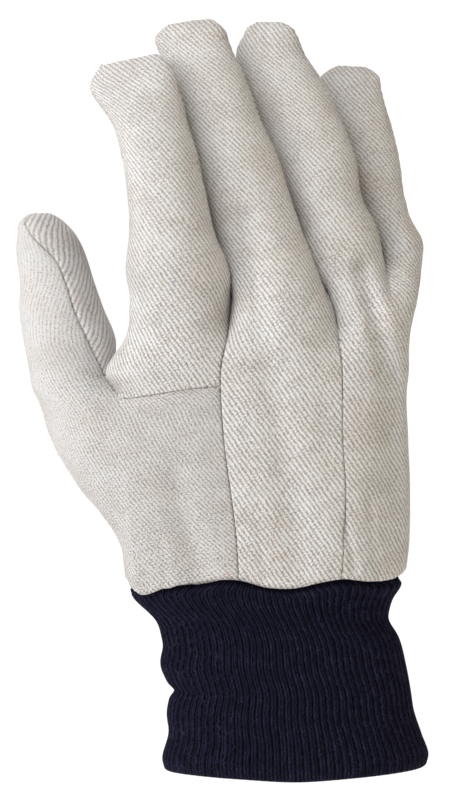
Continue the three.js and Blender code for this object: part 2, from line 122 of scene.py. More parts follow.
# Soft valleys in the glove's back, each along a straight line, as shares of the palm's width and length.
# spread: half the valley's width, as a share of the palm's width. sink: depth, as a share of the palm's.
FOLDS = table("fromAcross fromUp toAcross toUp spread sink", [
    (0.328, 1.1, 0.425, 0.7, 0.032, 0.085),
    (0.425, 0.68, 0.44, 0.37, 0.032, 0.06),
    (-0.307, 0.37, -0.222, 0.055, 0.05, 0.05),
    (-0.07, 1.275, -0.012, 0.857, 0.045, 0.06),
    (-0.012, 0.857, 0.118, 0.09, 0.055, 0.05),
    (0.085, 0.3, 0.115, 0.03, 0.014, 0.024),
    (0.262, 0.24, 0.3, 0.03, 0.013, 0.022),
    (-0.02, 0.2, 0.0, 0.03, 0.012, 0.014),
    (0.35, 0.3, 0.37, 0.05, 0.014, 0.02),
    (-0.35, 0.16, -0.33, 0.02, 0.013, 0.016),
])

# The lines that part the columns: how deep each lies on the back and on the palm, as shares of the way
# from back to palm; the same once it is a side seam; the height where it parts; and how far below it closes.
LINES = {
    "thumb": {"outer": "thumbAt"},
    "ridge": {"back": 0.17, "palm": 1.0, "seam": 0.55, "crotch": 0.735, "reach": 0.15},
    "seamA": {"back": 0.03, "palm": 0.96, "seam": 0.48, "crotch": 1.0, "reach": 0.26},
    "seamB": {"back": 0.05, "palm": 0.94, "seam": 0.53, "crotch": 1.0, "reach": 0.26},
    "split": {"back": 0.26, "palm": 0.8, "seam": 0.66, "crotch": 1.14, "reach": 0.2},
    "outer": {"outer": "outerAt"},
}

# The columns, each from the wrist up through the palm and on into one digit: its two lines, its last palm
# row, how far its back and palm stretches bulge as shares of their width, and the same once parted.
COLUMNS = {
    "thumb": ("thumb", "ridge", THUMB_ROW, 0.16, 0.16, 0.4),
    "index": ("ridge", "seamA", FINGER_ROW, 0.05, 0.06, 0.44),
    "middle": ("seamA", "seamB", FINGER_ROW, 0.05, 0.03, 0.44),
    "ring": ("seamB", "split", OUTER_ROW, 0.07, 0.07, 0.44),
    "little": ("split", "outer", OUTER_ROW, 0.22, 0.3, 0.5),
}

# Sections of the digits, from the root to the tip. up, lean, curl: the middle of the section from the
# root, as shares of the length. wide, thick: shares of width and thickness. slope: how far the right edge
# stands above the left, as a share of the width. roll: the section's turn about the digit, in degrees.
DIGIT_COLUMNS = "up lean curl wide thick slope roll"
DIGIT_SECTIONS = {
    "thumb": table(DIGIT_COLUMNS, [
        (0.215, -0.024, 0.055, 1.22, 1.27, 0, 62),
        (0.397, -0.072, 0.09, 1.1, 1.16, 0, 68),
        (0.58, -0.102, 0.11, 1.0, 1.02, 0, 74),
        (0.726, -0.138, 0.13, 0.95, 0.96, 0, 86),
        (0.79, -0.152, 0.135, 0.9, 0.9, 0, 104),
        (0.86, -0.169, 0.145, 0.82, 0.78, 0, 122),
        (0.945, -0.199, 0.16, 0.62, 0.5, 0, 132),
        (1.0, -0.205, 0.165, 0.2, 0, 0, 134),
    ]),
    "index": table(DIGIT_COLUMNS, [
        (0.12, -0.01, -0.048, 1.27, 1.2, 0, 8),
        (0.25, -0.031, -0.083, 1.06, 1.1, 0, 12),
        (0.42, -0.054, -0.095, 0.94, 1.0, 0, 12),
        (0.58, -0.085, -0.083, 0.92, 0.93, 0, 12),
        (0.71, -0.122, -0.054, 0.93, 0.85, 0, 12),
        (0.82, -0.17, -0.018, 1.04, 0.7, 0.08, 12),
        (0.9, -0.2, 0.012, 1.02, 0.48, 0.2, 12),
        (0.981, -0.211, 0.048, 0.71, 0, 0.19, 12),
    ]),
    "middle": table(DIGIT_COLUMNS, [
        (0.1, -0.034, 0.015, 1.17, 1.1, 0, 8),
        (0.21, -0.074, 0.03, 1.16, 1.06, 0, 12),
        (0.355, -0.121, 0.046, 1.11, 1.0, 0, 12),
        (0.5, -0.163, 0.06, 1.08, 0.95, 0, 12),
        (0.64, -0.21, 0.08, 1.0, 0.88, 0, 12),
        (0.785, -0.257, 0.115, 0.93, 0.8, 0, 12),
        (0.875, -0.3, 0.138, 0.92, 0.66, 0, 12),
        (0.948, -0.318, 0.155, 0.83, 0.46, 0.1, 12),
        (0.989, -0.315, 0.165, 0.5, 0, 0.12, 12),
    ]),
    "ring": table(DIGIT_COLUMNS, [
        (0.12, -0.02, 0.012, 1.06, 1.04, 0, 8),
        (0.25, -0.066, 0.027, 0.97, 1.0, 0, 12),
        (0.42, -0.105, 0.05, 1.04, 0.94, 0, 12),
        (0.585, -0.177, 0.075, 1.12, 0.88, 0, 12),
        (0.755, -0.248, 0.108, 1.08, 0.82, 0, 12),
        (0.86, -0.289, 0.138, 0.9, 0.66, 0, 12),
        (0.94, -0.291, 0.158, 0.7, 0.44, 0, 12),
        (0.985, -0.293, 0.166, 0.48, 0.22, 0, 12),
        (1.003, -0.292, 0.17, 0.24, 0, 0, 12),
    ]),
    "little": table(DIGIT_COLUMNS, [
        (0.1, -0.002, 0.065, 0.74, 0.92, 0, -32),
        (0.23, -0.076, 0.115, 0.84, 0.94, 0, -12),
        (0.38, -0.116, 0.16, 0.9, 0.95, 0, 2),
        (0.555, -0.15, 0.2, 0.96, 0.92, 0, 6),
        (0.73, -0.2, 0.24, 1.02, 0.84, 0, 8),
        (0.86, -0.232, 0.275, 0.99, 0.7, 0, 8),
        (0.95, -0.23, 0.3, 0.84, 0.45, 0, 8),
        (1.0, -0.226, 0.315, 0.4, 0, 0, 8),
    ]),
}

# Sections of the knitted wrist, from its opening up, as shares of its length, width and depth.
CUFF_SECTIONS = table("up axis wide deep", [
    (0.0, 0.0, 1.05, 0.99),
    (0.05, 0.0, 1.067, 1.01),
    (0.18, -0.005, 1.019, 0.97),
    (0.32, -0.02, 0.988, 0.93),
    (0.437, -0.02, 0.965, 0.89),
    (0.57, -0.046, 0.983, 0.87),
    (0.72, -0.058, 0.952, 0.84),
    (0.81, -0.083, 0.943, 0.81),
    (0.925, -0.125, 1.035, 0.88),
    (1.0, -0.133, 1.12, 0.93),
    (1.09, -0.133, 1.13, 0.94),
])

# How far the cross seam rises to the middle finger's panel, and how far that reaches up and down, as a
# share of the palm's length.
SEAM_TILT = 3.6 * MM
SEAM_TILT_REACH = 0.26


# Small helpers

def mix(a, b, t):
    return a + (b - a) * t


def ease(t):
    t = np.clip(t, 0, 1)
    return t * t * (3 - 2 * t)


def unit(v):
    return v / np.maximum(np.linalg.norm(v, axis=-1, keepdims=True), 1e-12)


def smooth_curve(places, values, at, start=None, end=None):
    """A smooth curve through values at places, read at other places. start, end: its slopes at the ends."""
    known = ~np.isnan(values) if values.ndim == 1 else slice(None)
    places, values, at = places[known], values[known], np.asarray(at, float)
    wide = (slice(None),) + (None,) * (values.ndim - 1)
    gaps = np.diff(places)
    rates = np.diff(values, axis=0) / gaps[wide]
    slopes = np.empty_like(values)
    slopes[0] = rates[0] if start is None else start
    slopes[-1] = rates[-1] if end is None else end
    left, right = gaps[:-1][wide], gaps[1:][wide]
    slopes[1:-1] = (rates[:-1] * right + rates[1:] * left) / (left + right)
    k = np.clip(np.searchsorted(places, at, side="right") - 1, 0, len(places) - 2)
    t = ((at - places[k]) / gaps[k])[wide]
    gap = gaps[k][wide]
    return (
        values[k] * (2 * t**3 - 3 * t**2 + 1)
        + slopes[k] * gap * (t**3 - 2 * t**2 + t)
        + values[k + 1] * (3 * t**2 - 2 * t**3)
        + slopes[k + 1] * gap * (t**3 - t**2)
    )


def far_along(points):
    """How far along a run of points each of them lies."""
    return np.concatenate([[0], np.cumsum(np.linalg.norm(np.diff(points, axis=0), axis=1))])


def noise(points, size, seed):
    """Smooth noise from -1 to 1 at each point. size: how far apart its swells are."""
    cells = points / size + seed * 17.13
    base = np.floor(cells).astype(np.int64)
    part = cells - base
    part = part * part * (3 - 2 * part)
    total = np.zeros(len(points))
    for corner in range(8):
        step = np.array([corner & 1, corner >> 1 & 1, corner >> 2 & 1])
        cell = base + step
        mixed = cell[:, 0] * 374761393 + cell[:, 1] * 668265263 + cell[:, 2] * 2147483647 + seed * 974711
        mixed = (mixed ^ (mixed >> 13)) * 1274126177
        value = ((mixed ^ (mixed >> 16)) & 0xFFFF) / 32767.5 - 1
        weight = np.prod(np.where(step, part, 1 - part), axis=1)
        total += value * weight
    return total


# The cloth's surface

def crowded(count):
    """Shares from 0 to 1 that lie closer together near the ends."""
    t = np.linspace(0, 1, count + 1)
    return t - EDGE_CROWDING / (2 * math.pi) * np.sin(2 * math.pi * t)


def palm_heights():
    """The fine rows' heights, as shares of the palm's length, and where each table row is among them."""
    ups = PALM_SECTIONS["up"]
    heights, marks = [0.0], [0]
    for row in range(len(ups) - 1):
        length = (ups[row + 1] - ups[row]) * PALM_LENGTH
        seam_near = row in (0, CROSS_SEAM_ROW - 1, CROSS_SEAM_ROW)
        count = math.ceil(length / CLOTH_STEP * (SEAM_FINER if seam_near else 1))
        shares = crowded(count) if seam_near else np.linspace(0, 1, count + 1)
        heights += list(mix(ups[row], ups[row + 1], shares[1:]))
        marks.append(len(heights) - 1)
    return np.array(heights), marks


HEIGHTS, MARKS = palm_heights()
SECTION = {name: smooth_curve(PALM_SECTIONS["up"], column, HEIGHTS) for name, column in PALM_SECTIONS.items()}


def line_points(name):
    """One line, at every fine palm row: its points on the back and on the palm, and how closed it is."""
    line = LINES[name]
    outer = "outer" in line
    closed = np.ones(len(HEIGHTS)) if outer else ease(1 - (line["crotch"] - HEIGHTS) / line["reach"])
    seam = SECTION[line["outer"]] if outer else line["seam"]
    points = []
    for surface in ("back", "palm"):
        share = mix(line.get(surface, seam), seam, closed)
        deep = mix(SECTION["back"], SECTION["palm"], share) * PALM_DEPTH
        across = PALM_SHIFT + SECTION[name] * PALM_WIDTH
        points.append(np.stack([across, deep, CUFF_LENGTH + HEIGHTS * PALM_LENGTH], axis=1))
    return points[0], points[1], closed, outer


def sink_at(points):
    """How deep the folds in the glove's back are at each point."""
    sink = np.zeros(points.shape[:-1])
    flat = points[..., [0, 2]]
    for fold in rows_of(FOLDS):
        ends = [
            np.array([PALM_SHIFT + fold[a] * PALM_WIDTH, CUFF_LENGTH + fold[b] * PALM_LENGTH])
            for a, b in (("fromAcross", "fromUp"), ("toAcross", "toUp"))
        ]
        way = ends[1] - ends[0]
        t = np.clip((flat - ends[0]) @ way / (way @ way), 0, 1)
        away = np.linalg.norm(flat - ends[0] - t[..., None] * way, axis=-1)
        own = fold["sink"] * PALM_DEPTH * np.exp(-((away / (fold["spread"] * PALM_WIDTH)) ** 2))
        sink = np.maximum(sink, own)
    return sink


def seam_tilt(digit, grid, rows):
    """How far the cross seam's tilt lifts the points near it: most at the middle finger's panel."""
    if digit not in ("index", "middle"):
        return 0
    x = grid[:rows, :, 0]
    left, right = x[:, :1], x[:, -1:]
    share = (x - left) / (right - left)
    share = ease(share) if digit == "index" else 1 - ease(share)
    apart = HEIGHTS[:rows] - PALM_SECTIONS["up"][CROSS_SEAM_ROW]
    near = 1 - ease(np.where(apart > 0, apart, -apart) / SEAM_TILT_REACH)
    return SEAM_TILT * share * near[:, None]


def wave_at(x):
    across = np.clip((x - PALM_SHIFT) / PALM_WIDTH, WRIST_WAVE["across"][0], WRIST_WAVE["across"][-1])
    return smooth_curve(WRIST_WAVE["across"], WRIST_WAVE["rise"], across) * PALM_LENGTH


def stations(digit):
    """One column's fine stations: both ends of its back and palm stretches, their bulges and roundness."""
    left_name, right_name, last, puff_back, puff_palm, round_share = COLUMNS[digit]
    rows = MARKS[last] + 1
    left, right = line_points(left_name), line_points(right_name)
    closed = [side[2][:rows] for side in (left, right)]
    round_left = closed[1] if left[3] else closed[0]
    round_right = closed[0] if right[3] else closed[1]
    rounded = (round_left + round_right) / 2
    low = {"round": (round_left, round_right), "gap": closed}
    for k, (surface, puff) in enumerate((("back", puff_back), ("palm", puff_palm))):
        a, b = left[k][:rows], right[k][:rows]
        width = np.linalg.norm(b - a, axis=1)
        low[surface] = (a, b, width * mix(puff, round_share, rounded))
    return low, digit_stations(digit, low, left_name, right_name, last)


def digit_stations(digit, low, left_name, right_name, last):
    """The column's fine stations beyond the palm: both edges and how far the surfaces bulge."""
    length, width, thickness = DIGIT_SIZES[digit]
    rows = DIGIT_SECTIONS[digit]
    foot = [low["back"][0][-1], low["back"][1][-1]]
    root = (foot[0] + foot[1]) / 2
    centre = root + np.stack([rows["lean"], rows["curl"], rows["up"]], axis=1) * length
    roll = np.radians(rows["roll"])
    half_width = rows["wide"] * width / 2
    side = np.stack([np.cos(roll), -np.sin(roll), rows["slope"]], axis=1) * half_width[:, None]
    places = np.concatenate([[0], rows["up"] * length])
    fine = [0.0]
    for a, b in zip(places[:-1], places[1:]):
        fine += list(np.linspace(a, b, math.ceil((b - a) / CLOTH_STEP * DIGIT_FINER) + 1)[1:])
    fine = np.array(fine[1:])
    edges = []
    for k, (name, sign) in enumerate(((left_name, -1), (right_name, 1))):
        line = LINES[name]
        through = np.vstack([foot[k][None], centre + sign * side])
        parted_lower = "outer" in line or line["crotch"] < PALM_SECTIONS["up"][last]
        below = low["back"][k]
        start = (below[-1] - below[-3]) / (below[-1][2] - below[-3][2]) if parted_lower else None
        edges.append(smooth_curve(places, through, fine, start=start))
    bulges = []
    for surface in ("back", "palm"):
        swell = np.concatenate([[low[surface][2][-1]], rows["thick"] * thickness / 2]) ** 2
        bulges.append(np.sqrt(np.maximum(smooth_curve(places, swell, fine), 0)))
    bulges[0][-1] = bulges[1][-1] = 0
    return edges, bulges


def stretch(a, b, bulge, round_a, round_b, shares, outward):
    """The surface between two edges: a row of points for each station."""
    along = b - a
    normal = unit(np.stack([along[:, 1], -along[:, 0], np.zeros(len(a))], axis=1)) * outward
    v = shares[None, :]
    roundness = mix(round_a[:, None], round_b[:, None], v)
    share = mix(v, (1 - np.cos(math.pi * v)) / 2, roundness)
    lift = bulge[:, None] * np.sin(math.pi * v)
    return a[:, None] + along[:, None] * share[..., None] + normal[:, None] * lift[..., None]


SHARES = crowded(FACES_ACROSS)

# How steeply the folds fade out at a column's edges where it meets the next
FOLD_FADE = 6


def column_surface(digit, surface):
    """One column's surface as a grid of points, the same without its folds, and how many of its rows
    lie in the palm."""
    low, (edges, bulges) = stations(digit)
    k, outward = (0, 1) if surface == "back" else (1, -1)
    a, b, bulge = low[surface]
    palm = stretch(a, b, bulge, *low["round"], SHARES, outward)
    ones = np.ones(len(edges[0]))
    finger = stretch(edges[0], edges[1], bulges[k], ones, ones, SHARES, outward)
    grid = np.concatenate([palm, finger])
    gap_left = np.concatenate([low["gap"][0], ones])[:, None]
    gap_right = np.concatenate([low["gap"][1], ones])[:, None]
    flat = grid.copy()
    if surface == "back":
        free = 1 - gap_left * (1 - SHARES) ** FOLD_FADE - gap_right * SHARES**FOLD_FADE
        grid[..., 1] += free * sink_at(grid)
        grid[: len(palm), :, 2] += seam_tilt(digit, grid, len(palm))
    fade = np.clip(1 - HEIGHTS[: len(palm)] / PALM_SECTIONS["up"][1], 0, 1)
    grid[: len(palm), :, 2] += fade[:, None] * wave_at(grid[: len(palm), :, 0])
    flat[..., 2] = grid[..., 2]
    return grid, flat, len(palm)


# Height above a finger's root over which the cloth's grain comes to follow the finger.
LEAN_FADE = 50 * MM


def fabric_places(grids, palm_rows, order, middle):
    """How far each point lies across and along its cloth, laid flat. middle: the column that holds the
    line they are measured from, and whether that is its middle (0) or its right edge (1)."""
    across, runs = {}, {}
    for name, grid in grids.items():
        steps = np.linalg.norm(np.diff(grid, axis=1), axis=2)
        runs[name] = np.concatenate([np.zeros((len(grid), 1)), np.cumsum(steps, axis=1)], axis=1)
    digit, side = middle
    across[digit] = runs[digit] - runs[digit][:, -1:]
    if side == 0:
        across[digit] = runs[digit] - runs[digit][:, -1:] / 2
        root = grids[digit][palm_rows[digit] - 1, :, 0]
        for row in range(palm_rows[digit]):
            x = grids[digit][row, :, 0]
            across[digit][row] = runs[digit][row] - np.interp((root[0] + root[-1]) / 2, x, runs[digit][row])
    at = order.index(digit)
    rightward = [(k, k - 1, 0) for k in range(at + 1, len(order))]
    leftward = [(k, k + 1, -1) for k in reversed(range(at))]
    for k, beside, edge in rightward + leftward:
        run, known = runs[order[k]], across[order[beside]]
        rows = min(len(run), len(known))
        across[order[k]] = run - run[:, [edge]]
        across[order[k]][:rows] += known[:rows, [-1 - edge]]
    places = {}
    for name in order:
        count = palm_rows[name]
        own = runs[name] - runs[name][:, -1:] / 2
        root = across[name][count - 1, 0] - own[count - 1, 0]
        grid = grids[name]
        step = np.diff(grid[:, FACES_ACROSS // 2], axis=0)
        risen = grid[1:, FACES_ACROSS // 2, 2] - grid[count - 1, FACES_ACROSS // 2, 2]
        leans = step[:, 0] * (1 - ease(risen / LEAN_FADE)) * (name != "thumb")
        lean = np.concatenate([[0], np.cumsum(leans)])
        climb = np.concatenate([[0], np.cumsum(np.sqrt(np.sum(step**2, axis=1) - leans**2))])
        u = across[name].copy()
        u[count:] = own[count:] + root + (lean[count:] - lean[count - 1])[:, None]
        w = grid[..., 2].copy()
        w[count:] = (climb[count:] - climb[count - 1])[:, None] + w[count - 1].mean()
        places[name] = np.stack([u, w], axis=-1)
    return places


ORDER = list(COLUMNS)
GRIDS, UNFOLDED, PALM_ROWS = {}, {}, {}
for digit in ORDER:
    for surface in ("back", "palm"):
        GRIDS[digit, surface], UNFOLDED[digit, surface], PALM_ROWS[digit] = column_surface(digit, surface)


def weld(grids):
    """All the grids' points as one list with no doubles, and each grid's numbers in it."""
    flat = np.concatenate([grid.reshape(-1, 3) for grid in grids.values()])
    cells = np.round(flat * WELD_CELLS).astype(np.int64)
    _, first, number = np.unique(cells, axis=0, return_index=True, return_inverse=True)
    number = number.reshape(-1)
    ids, start = {}, 0
    for key, grid in grids.items():
        count = grid.shape[0] * grid.shape[1]
        ids[key] = number[start : start + count].reshape(grid.shape[:2])
        start += count
    return flat[first], ids


SHELL, IDS = weld(GRIDS)


def grid_faces(key):
    """A grid's four-sided faces, turned outwards, and the row and corner that each comes from."""
    ids = IDS[key]
    rows, across = ids.shape
    i, j = np.meshgrid(np.arange(rows - 1), np.arange(across - 1), indexing="ij")
    round_face = ((i, j), (i, j + 1), (i + 1, j + 1), (i + 1, j))
    corners = np.stack([np.stack(corner, -1) for corner in round_face], axis=2)
    if key[1] == "palm":
        corners = corners[:, :, ::-1]
    corners = corners.reshape(-1, 4, 2)
    return ids[corners[..., 0], corners[..., 1]], corners


FACES = {key: grid_faces(key) for key in GRIDS}
ALL_FACES = np.concatenate([faces for faces, _ in FACES.values()])


def face_normals(points, faces):
    return np.cross(points[faces[:, 2]] - points[faces[:, 0]], points[faces[:, 3]] - points[faces[:, 1]])


def point_normals(points, faces):
    facing = face_normals(points, faces)
    normals = np.zeros_like(points)
    for k in range(4):
        np.add.at(normals, faces[:, k], facing)
    return unit(normals)


# Seams: each a run of shell points from one end to the other

def seam_runs():
    """The digits' side seams as one run, and the back's seams and the wrist's edge as one each."""
    thumb, finger, outer = MARKS[THUMB_ROW], MARKS[FINGER_ROW], MARKS[OUTER_ROW]
    parting = {"thumb": (0, thumb), "index": (thumb, finger), "middle": (finger, finger),
               "ring": (finger, outer), "little": (outer, 0)}
    runs = {"side": []}
    for digit, (left, right) in parting.items():
        grid = IDS[digit, "back"]
        runs["side"] += [*grid[left:, 0], *grid[-1, 1:-1], *grid[right:, -1][::-1]]
    runs["index_middle"] = IDS["index", "back"][: finger + 1, -1]
    runs["middle_ring"] = IDS["middle", "back"][: finger + 1, -1]
    runs["cross"] = IDS["index", "back"][MARKS[CROSS_SEAM_ROW]]
    runs["wrist"] = [p for digit in ORDER for p in IDS[digit, "back"][0]]
    runs["wrist"] += [p for digit in reversed(ORDER) for p in IDS[digit, "palm"][0][::-1]]
    return {name: [p for p, q in zip(run, [*run[1:], None]) if p != q] for name, run in runs.items()}


SEAMS = seam_runs()
SHELL_NORMALS = point_normals(SHELL, ALL_FACES)


def flatness():
    """How nearly the faces round each shell point face the same way: 1 where the cloth is flat."""
    facing = np.zeros(len(SHELL))
    count = np.zeros(len(SHELL))
    normals = unit(face_normals(SHELL, ALL_FACES))
    for k in range(4):
        np.add.at(facing, ALL_FACES[:, k], np.einsum("ij,ij->i", normals, SHELL_NORMALS[ALL_FACES[:, k]]))
        np.add.at(count, ALL_FACES[:, k], 1)
    return facing / np.maximum(count, 1)


FLATNESS = flatness()

# How far from its seam line each seam's cloth begins to roll in
SEAM_ROLL = {
    "side": 1.1 * MM,
    "index_middle": 0.9 * MM,
    "middle_ring": 0.75 * MM,
    "cross": 0.6 * MM,
    "wrist": 1.5 * MM,
}
SEAM_SAMPLE = 0.15 * MM
STITCH_LENGTH = 2.9 * MM

# Seams that run on into the creases between the fingers, and the flatness at which a crease is sharp
CREASED_SEAMS = ("index_middle", "middle_ring")
CREASE_FLATNESS = 0.45


def sampled(points, values):
    """A run of points laid close together, with the way along, how far along each lies and its value."""
    far = far_along(points)
    at = np.arange(0, far[-1], SEAM_SAMPLE)
    fine = np.stack([np.interp(at, far, points[:, k]) for k in range(3)], axis=1)
    return fine, unit(np.gradient(fine, axis=0)), at, np.interp(at, far, values)


def nearest_seam(points):
    """For each point: how far the nearest seam is, its roll, the foot on it, how far along that lies and
    how open the seam is there: 0 in a sharp crease and 1 on flat cloth."""
    runs = []
    for name, run in SEAMS.items():
        fine, way, along, flat = sampled(SHELL[run], FLATNESS[run])
        opened = ease((flat - CREASE_FLATNESS) / (1 - CREASE_FLATNESS))
        if name not in CREASED_SEAMS:
            opened = np.ones(len(fine))
        runs.append((fine, way, np.full(len(fine), SEAM_ROLL[name]), along, opened))
    feet, ways, rolls, alongs, opens = (np.concatenate(parts) for parts in zip(*runs))
    tree = kdtree.KDTree(len(feet))
    for k, foot in enumerate(feet):
        tree.insert(foot, k)
    tree.balance()
    found = [tree.find(p) for p in points]
    k = np.array([hit[1] for hit in found])
    shift = np.einsum("ij,ij->i", points - feet[k], ways[k])
    away = np.array([hit[2] for hit in found])
    return away, rolls[k], feet[k] + ways[k] * shift[:, None], alongs[k] + shift, opens[k]


# Swells and creases of the worn cloth beyond the folds in the table, and how far they are drawn out upwards
SWELL_SIZE, SWELL, SWELL_SHAPE = 19 * MM, 0.55 * MM, (1, 1, 0.6)
CREASE_SIZE, CREASE, CREASE_SHAPE = 7 * MM, 0.2 * MM, (1, 1, 0.55)

# Puckers, the dip at each stitch and the dent along a seam, and how far from the seam each reaches
PUCKER_SIZE, PUCKER, PUCKER_REACH = 2.6 * MM, 0.32 * MM, 3.2 * MM
STITCH_DIP, STITCH_DIP_REACH = 0.2 * MM, 1.2 * MM
SEAM_DENT, SEAM_DENT_REACH = 0.3 * MM, 3.5 * MM

# How far from a sharp crease the cloth keeps free of all of these
CREASE_REACH = 5 * MM


def dressed_shell():
    """The shell with its swells, creases, rolled seam edges and puckers."""
    away, roll, foot, along, opened = nearest_seam(SHELL)
    lift = SWELL * noise(SHELL * SWELL_SHAPE, SWELL_SIZE, seed=3)
    lift += CREASE * noise(SHELL * CREASE_SHAPE, CREASE_SIZE, seed=5)
    near = np.exp(-away / PUCKER_REACH)
    lift += PUCKER * near * noise(foot, PUCKER_SIZE, seed=7)
    lift -= SEAM_DENT * np.exp(-away / SEAM_DENT_REACH)
    dip = np.exp(-((away / STITCH_DIP_REACH) ** 2)) * np.cos(2 * math.pi * along / STITCH_LENGTH)
    lift -= STITCH_DIP * dip
    inside = np.clip(roll - away, 0, None)
    lift -= roll - np.sqrt(roll**2 - inside**2)
    lift *= mix(1, opened, np.exp(-((away / CREASE_REACH) ** 2)))
    return SHELL + SHELL_NORMALS * lift[:, None]


CLOTH_POINTS = dressed_shell()

# From every shell point to the cloth's inner face, mitred where faces meet at an angle.
INWARD = -SHELL_NORMALS * (CLOTH / np.maximum(MITRE_LIMIT, FLATNESS))[:, None]


# Meshes

def new_object(name, points, faces, uvs=None, uv_name=None, sharp=None):
    """A smooth-shaded object from points in metres and faces. uvs: one flat place for each face corner.
    sharp: the angle in degrees from which an edge stays sharp."""
    mesh = bpy.data.meshes.new(name)
    mesh.from_pydata([tuple(p) for p in points], [], [tuple(int(k) for k in f) for f in faces])
    mesh.update()
    mesh.polygons.foreach_set("use_smooth", [True] * len(mesh.polygons))
    if sharp:
        mesh.set_sharp_from_angle(angle=math.radians(sharp))
    if uvs is not None:
        mesh.uv_layers.new(name=uv_name).data.foreach_set("uv", np.asarray(uvs, np.float32).reshape(-1))
    piece = bpy.data.objects.new(name, mesh)
    bpy.context.scene.collection.objects.link(piece)
    return piece


# One unit of the flat map is a centimetre of cloth.
MAP_UNIT = 10 * MM

# Heights between which a piece of cloth that lies turned comes to its full turn, and the place it turns about
TURN_FROM, TURN_RISE = 60 * MM, 130 * MM
TURN_PIVOT = np.array([-25 * MM, TURN_FROM + TURN_RISE / 2]) / MAP_UNIT

SHARP_RIM = 55


def turned_map(uv, degrees):
    cos, sin = np.cos(np.radians(degrees)), np.sin(np.radians(degrees))
    u, w = uv[..., 0] - TURN_PIVOT[0], uv[..., 1] - TURN_PIVOT[1]
    return np.stack([u * cos - w * sin, u * sin + w * cos], axis=-1) + TURN_PIVOT


def cut_piece(keys, middle, bolt, mirrored=False, turn=0, thumb_turn=0):
    """One cut piece of cloth: its faces and where their corners lie on the flat cloth. keys: its grids,
    each with its first and last row. middle: as in fabric_places. bolt: how far across the flat cloth it
    is cut from, so that no two pieces show the same slubs. turn: how far the cloth lies turned above the
    wrist, in degrees. thumb_turn: the same where it goes on into the thumb."""
    surface = keys[0][0][1]
    order = [key[0] for key, _, _ in keys]
    places = fabric_places({d: UNFOLDED[d, surface] for d in order}, PALM_ROWS, order, middle)
    faces, uvs = [], []
    for key, first, last in keys:
        numbers, corners = FACES[key]
        row = corners[:, :, 0].min(axis=1)
        kept = (row >= first) & (row < (np.inf if last is None else last))
        faces.append(numbers[kept])
        uv = places[key[0]][corners[kept][..., 0], corners[kept][..., 1]] / MAP_UNIT
        uv = uv * (-1 if mirrored else 1, 1)
        uv = turned_map(uv, turn * ease((uv[..., 1] * MAP_UNIT - TURN_FROM) / TURN_RISE))
        if key[0] == "thumb" and thumb_turn:
            beyond = row[kept] >= PALM_ROWS["thumb"] - 1
            uv[beyond] = turned_map(uv[beyond], thumb_turn)
        uvs.append(uv + (bolt / MAP_UNIT, 0))
    return np.concatenate(faces), np.concatenate(uvs)


def cloth_panel(name, *cut, **turns):
    """One piece, cut as in cut_piece, as a closed sheet with its edges drawn back from the seams."""
    faces, uvs = cut_piece(*cut, **turns)
    used, faces = np.unique(faces, return_inverse=True)
    faces = faces.reshape(-1, 4)
    outer, steps = CLOTH_POINTS[used].copy(), INWARD[used]
    count = len(used)
    start, end = faces.reshape(-1), np.roll(faces, -1, axis=1).reshape(-1)
    border = ~np.isin(start * count + end, end * count + start)
    p, q = start[border], end[border]
    normals = unit(np.repeat(face_normals(outer, faces), 4, axis=0)[border])
    along = outer[q] - outer[p]
    drawn = np.zeros_like(outer)
    for k in (p, q):
        back = unit(np.cross(along, steps[k]))
        back *= np.sign(np.einsum("ij,ij->i", back, np.cross(normals, along)))[:, None]
        np.add.at(drawn, k, back)
    outer += unit(drawn) * (np.linalg.norm(drawn, axis=1) > 0)[:, None] * SEAM_GAP / 2
    points = np.concatenate([outer, outer + steps])
    rims = np.stack([q, p, p + count, q + count], axis=1)
    here = uvs.reshape(-1, 2)[border]
    there = np.roll(uvs, -1, axis=1).reshape(-1, 2)[border]
    rim_uv = np.stack([there, here, here, there], axis=1)
    all_faces = np.concatenate([faces, faces[:, ::-1] + count, rims])
    all_uvs = np.concatenate([uvs, uvs[:, ::-1], rim_uv])
    return new_object(name, points, all_faces, all_uvs, "cloth", SHARP_RIM)


def grids_between(digits, surface, first=0, last=None):
    return [((digit, surface), first, last) for digit in digits]


cross = MARKS[CROSS_SEAM_ROW]
palm = grids_between(ORDER, "palm")
thumb_back = grids_between(["thumb"], "back") + grids_between(["index"], "back", 0, cross)
index_back = grids_between(["index"], "back", cross)
middle_back = grids_between(["middle"], "back")
outer_back = grids_between(["ring", "little"], "back")
PANELS = {
    "palm_panel": cloth_panel("palm_cloth", palm, ("middle", 0), 900 * MM, mirrored=True, thumb_turn=80),
    "thumb_back": cloth_panel("thumb_back_cloth", thumb_back, ("thumb", 1), 0, turn=48),
    "index_back": cloth_panel("index_back_cloth", index_back, ("index", 0), 300 * MM),
    "middle_back": cloth_panel("middle_back_cloth", middle_back, ("middle", 0), 470 * MM),
    "outer_back": cloth_panel("outer_back_cloth", outer_back, ("ring", 0), 640 * MM),
}


# The stitches that show in the seams as short threads across them

THREAD = 0.2 * MM
STITCH_REACH = 0.6 * MM
STITCH_LIFT = 0.12 * MM
STITCH_SLANT = 0.35
FLATTEST_EDGE = 0.8
THREAD_SIDES = 6

# How many points to each side of a stitch the seam's direction is taken from
BESIDE = 2

# Places along a thread, from its middle to its ends, and how thick it is there
THREAD_RINGS = ((-1.0, 0.35), (-0.8, 0.9), (0.0, 1.0), (0.8, 0.9), (1.0, 0.35))


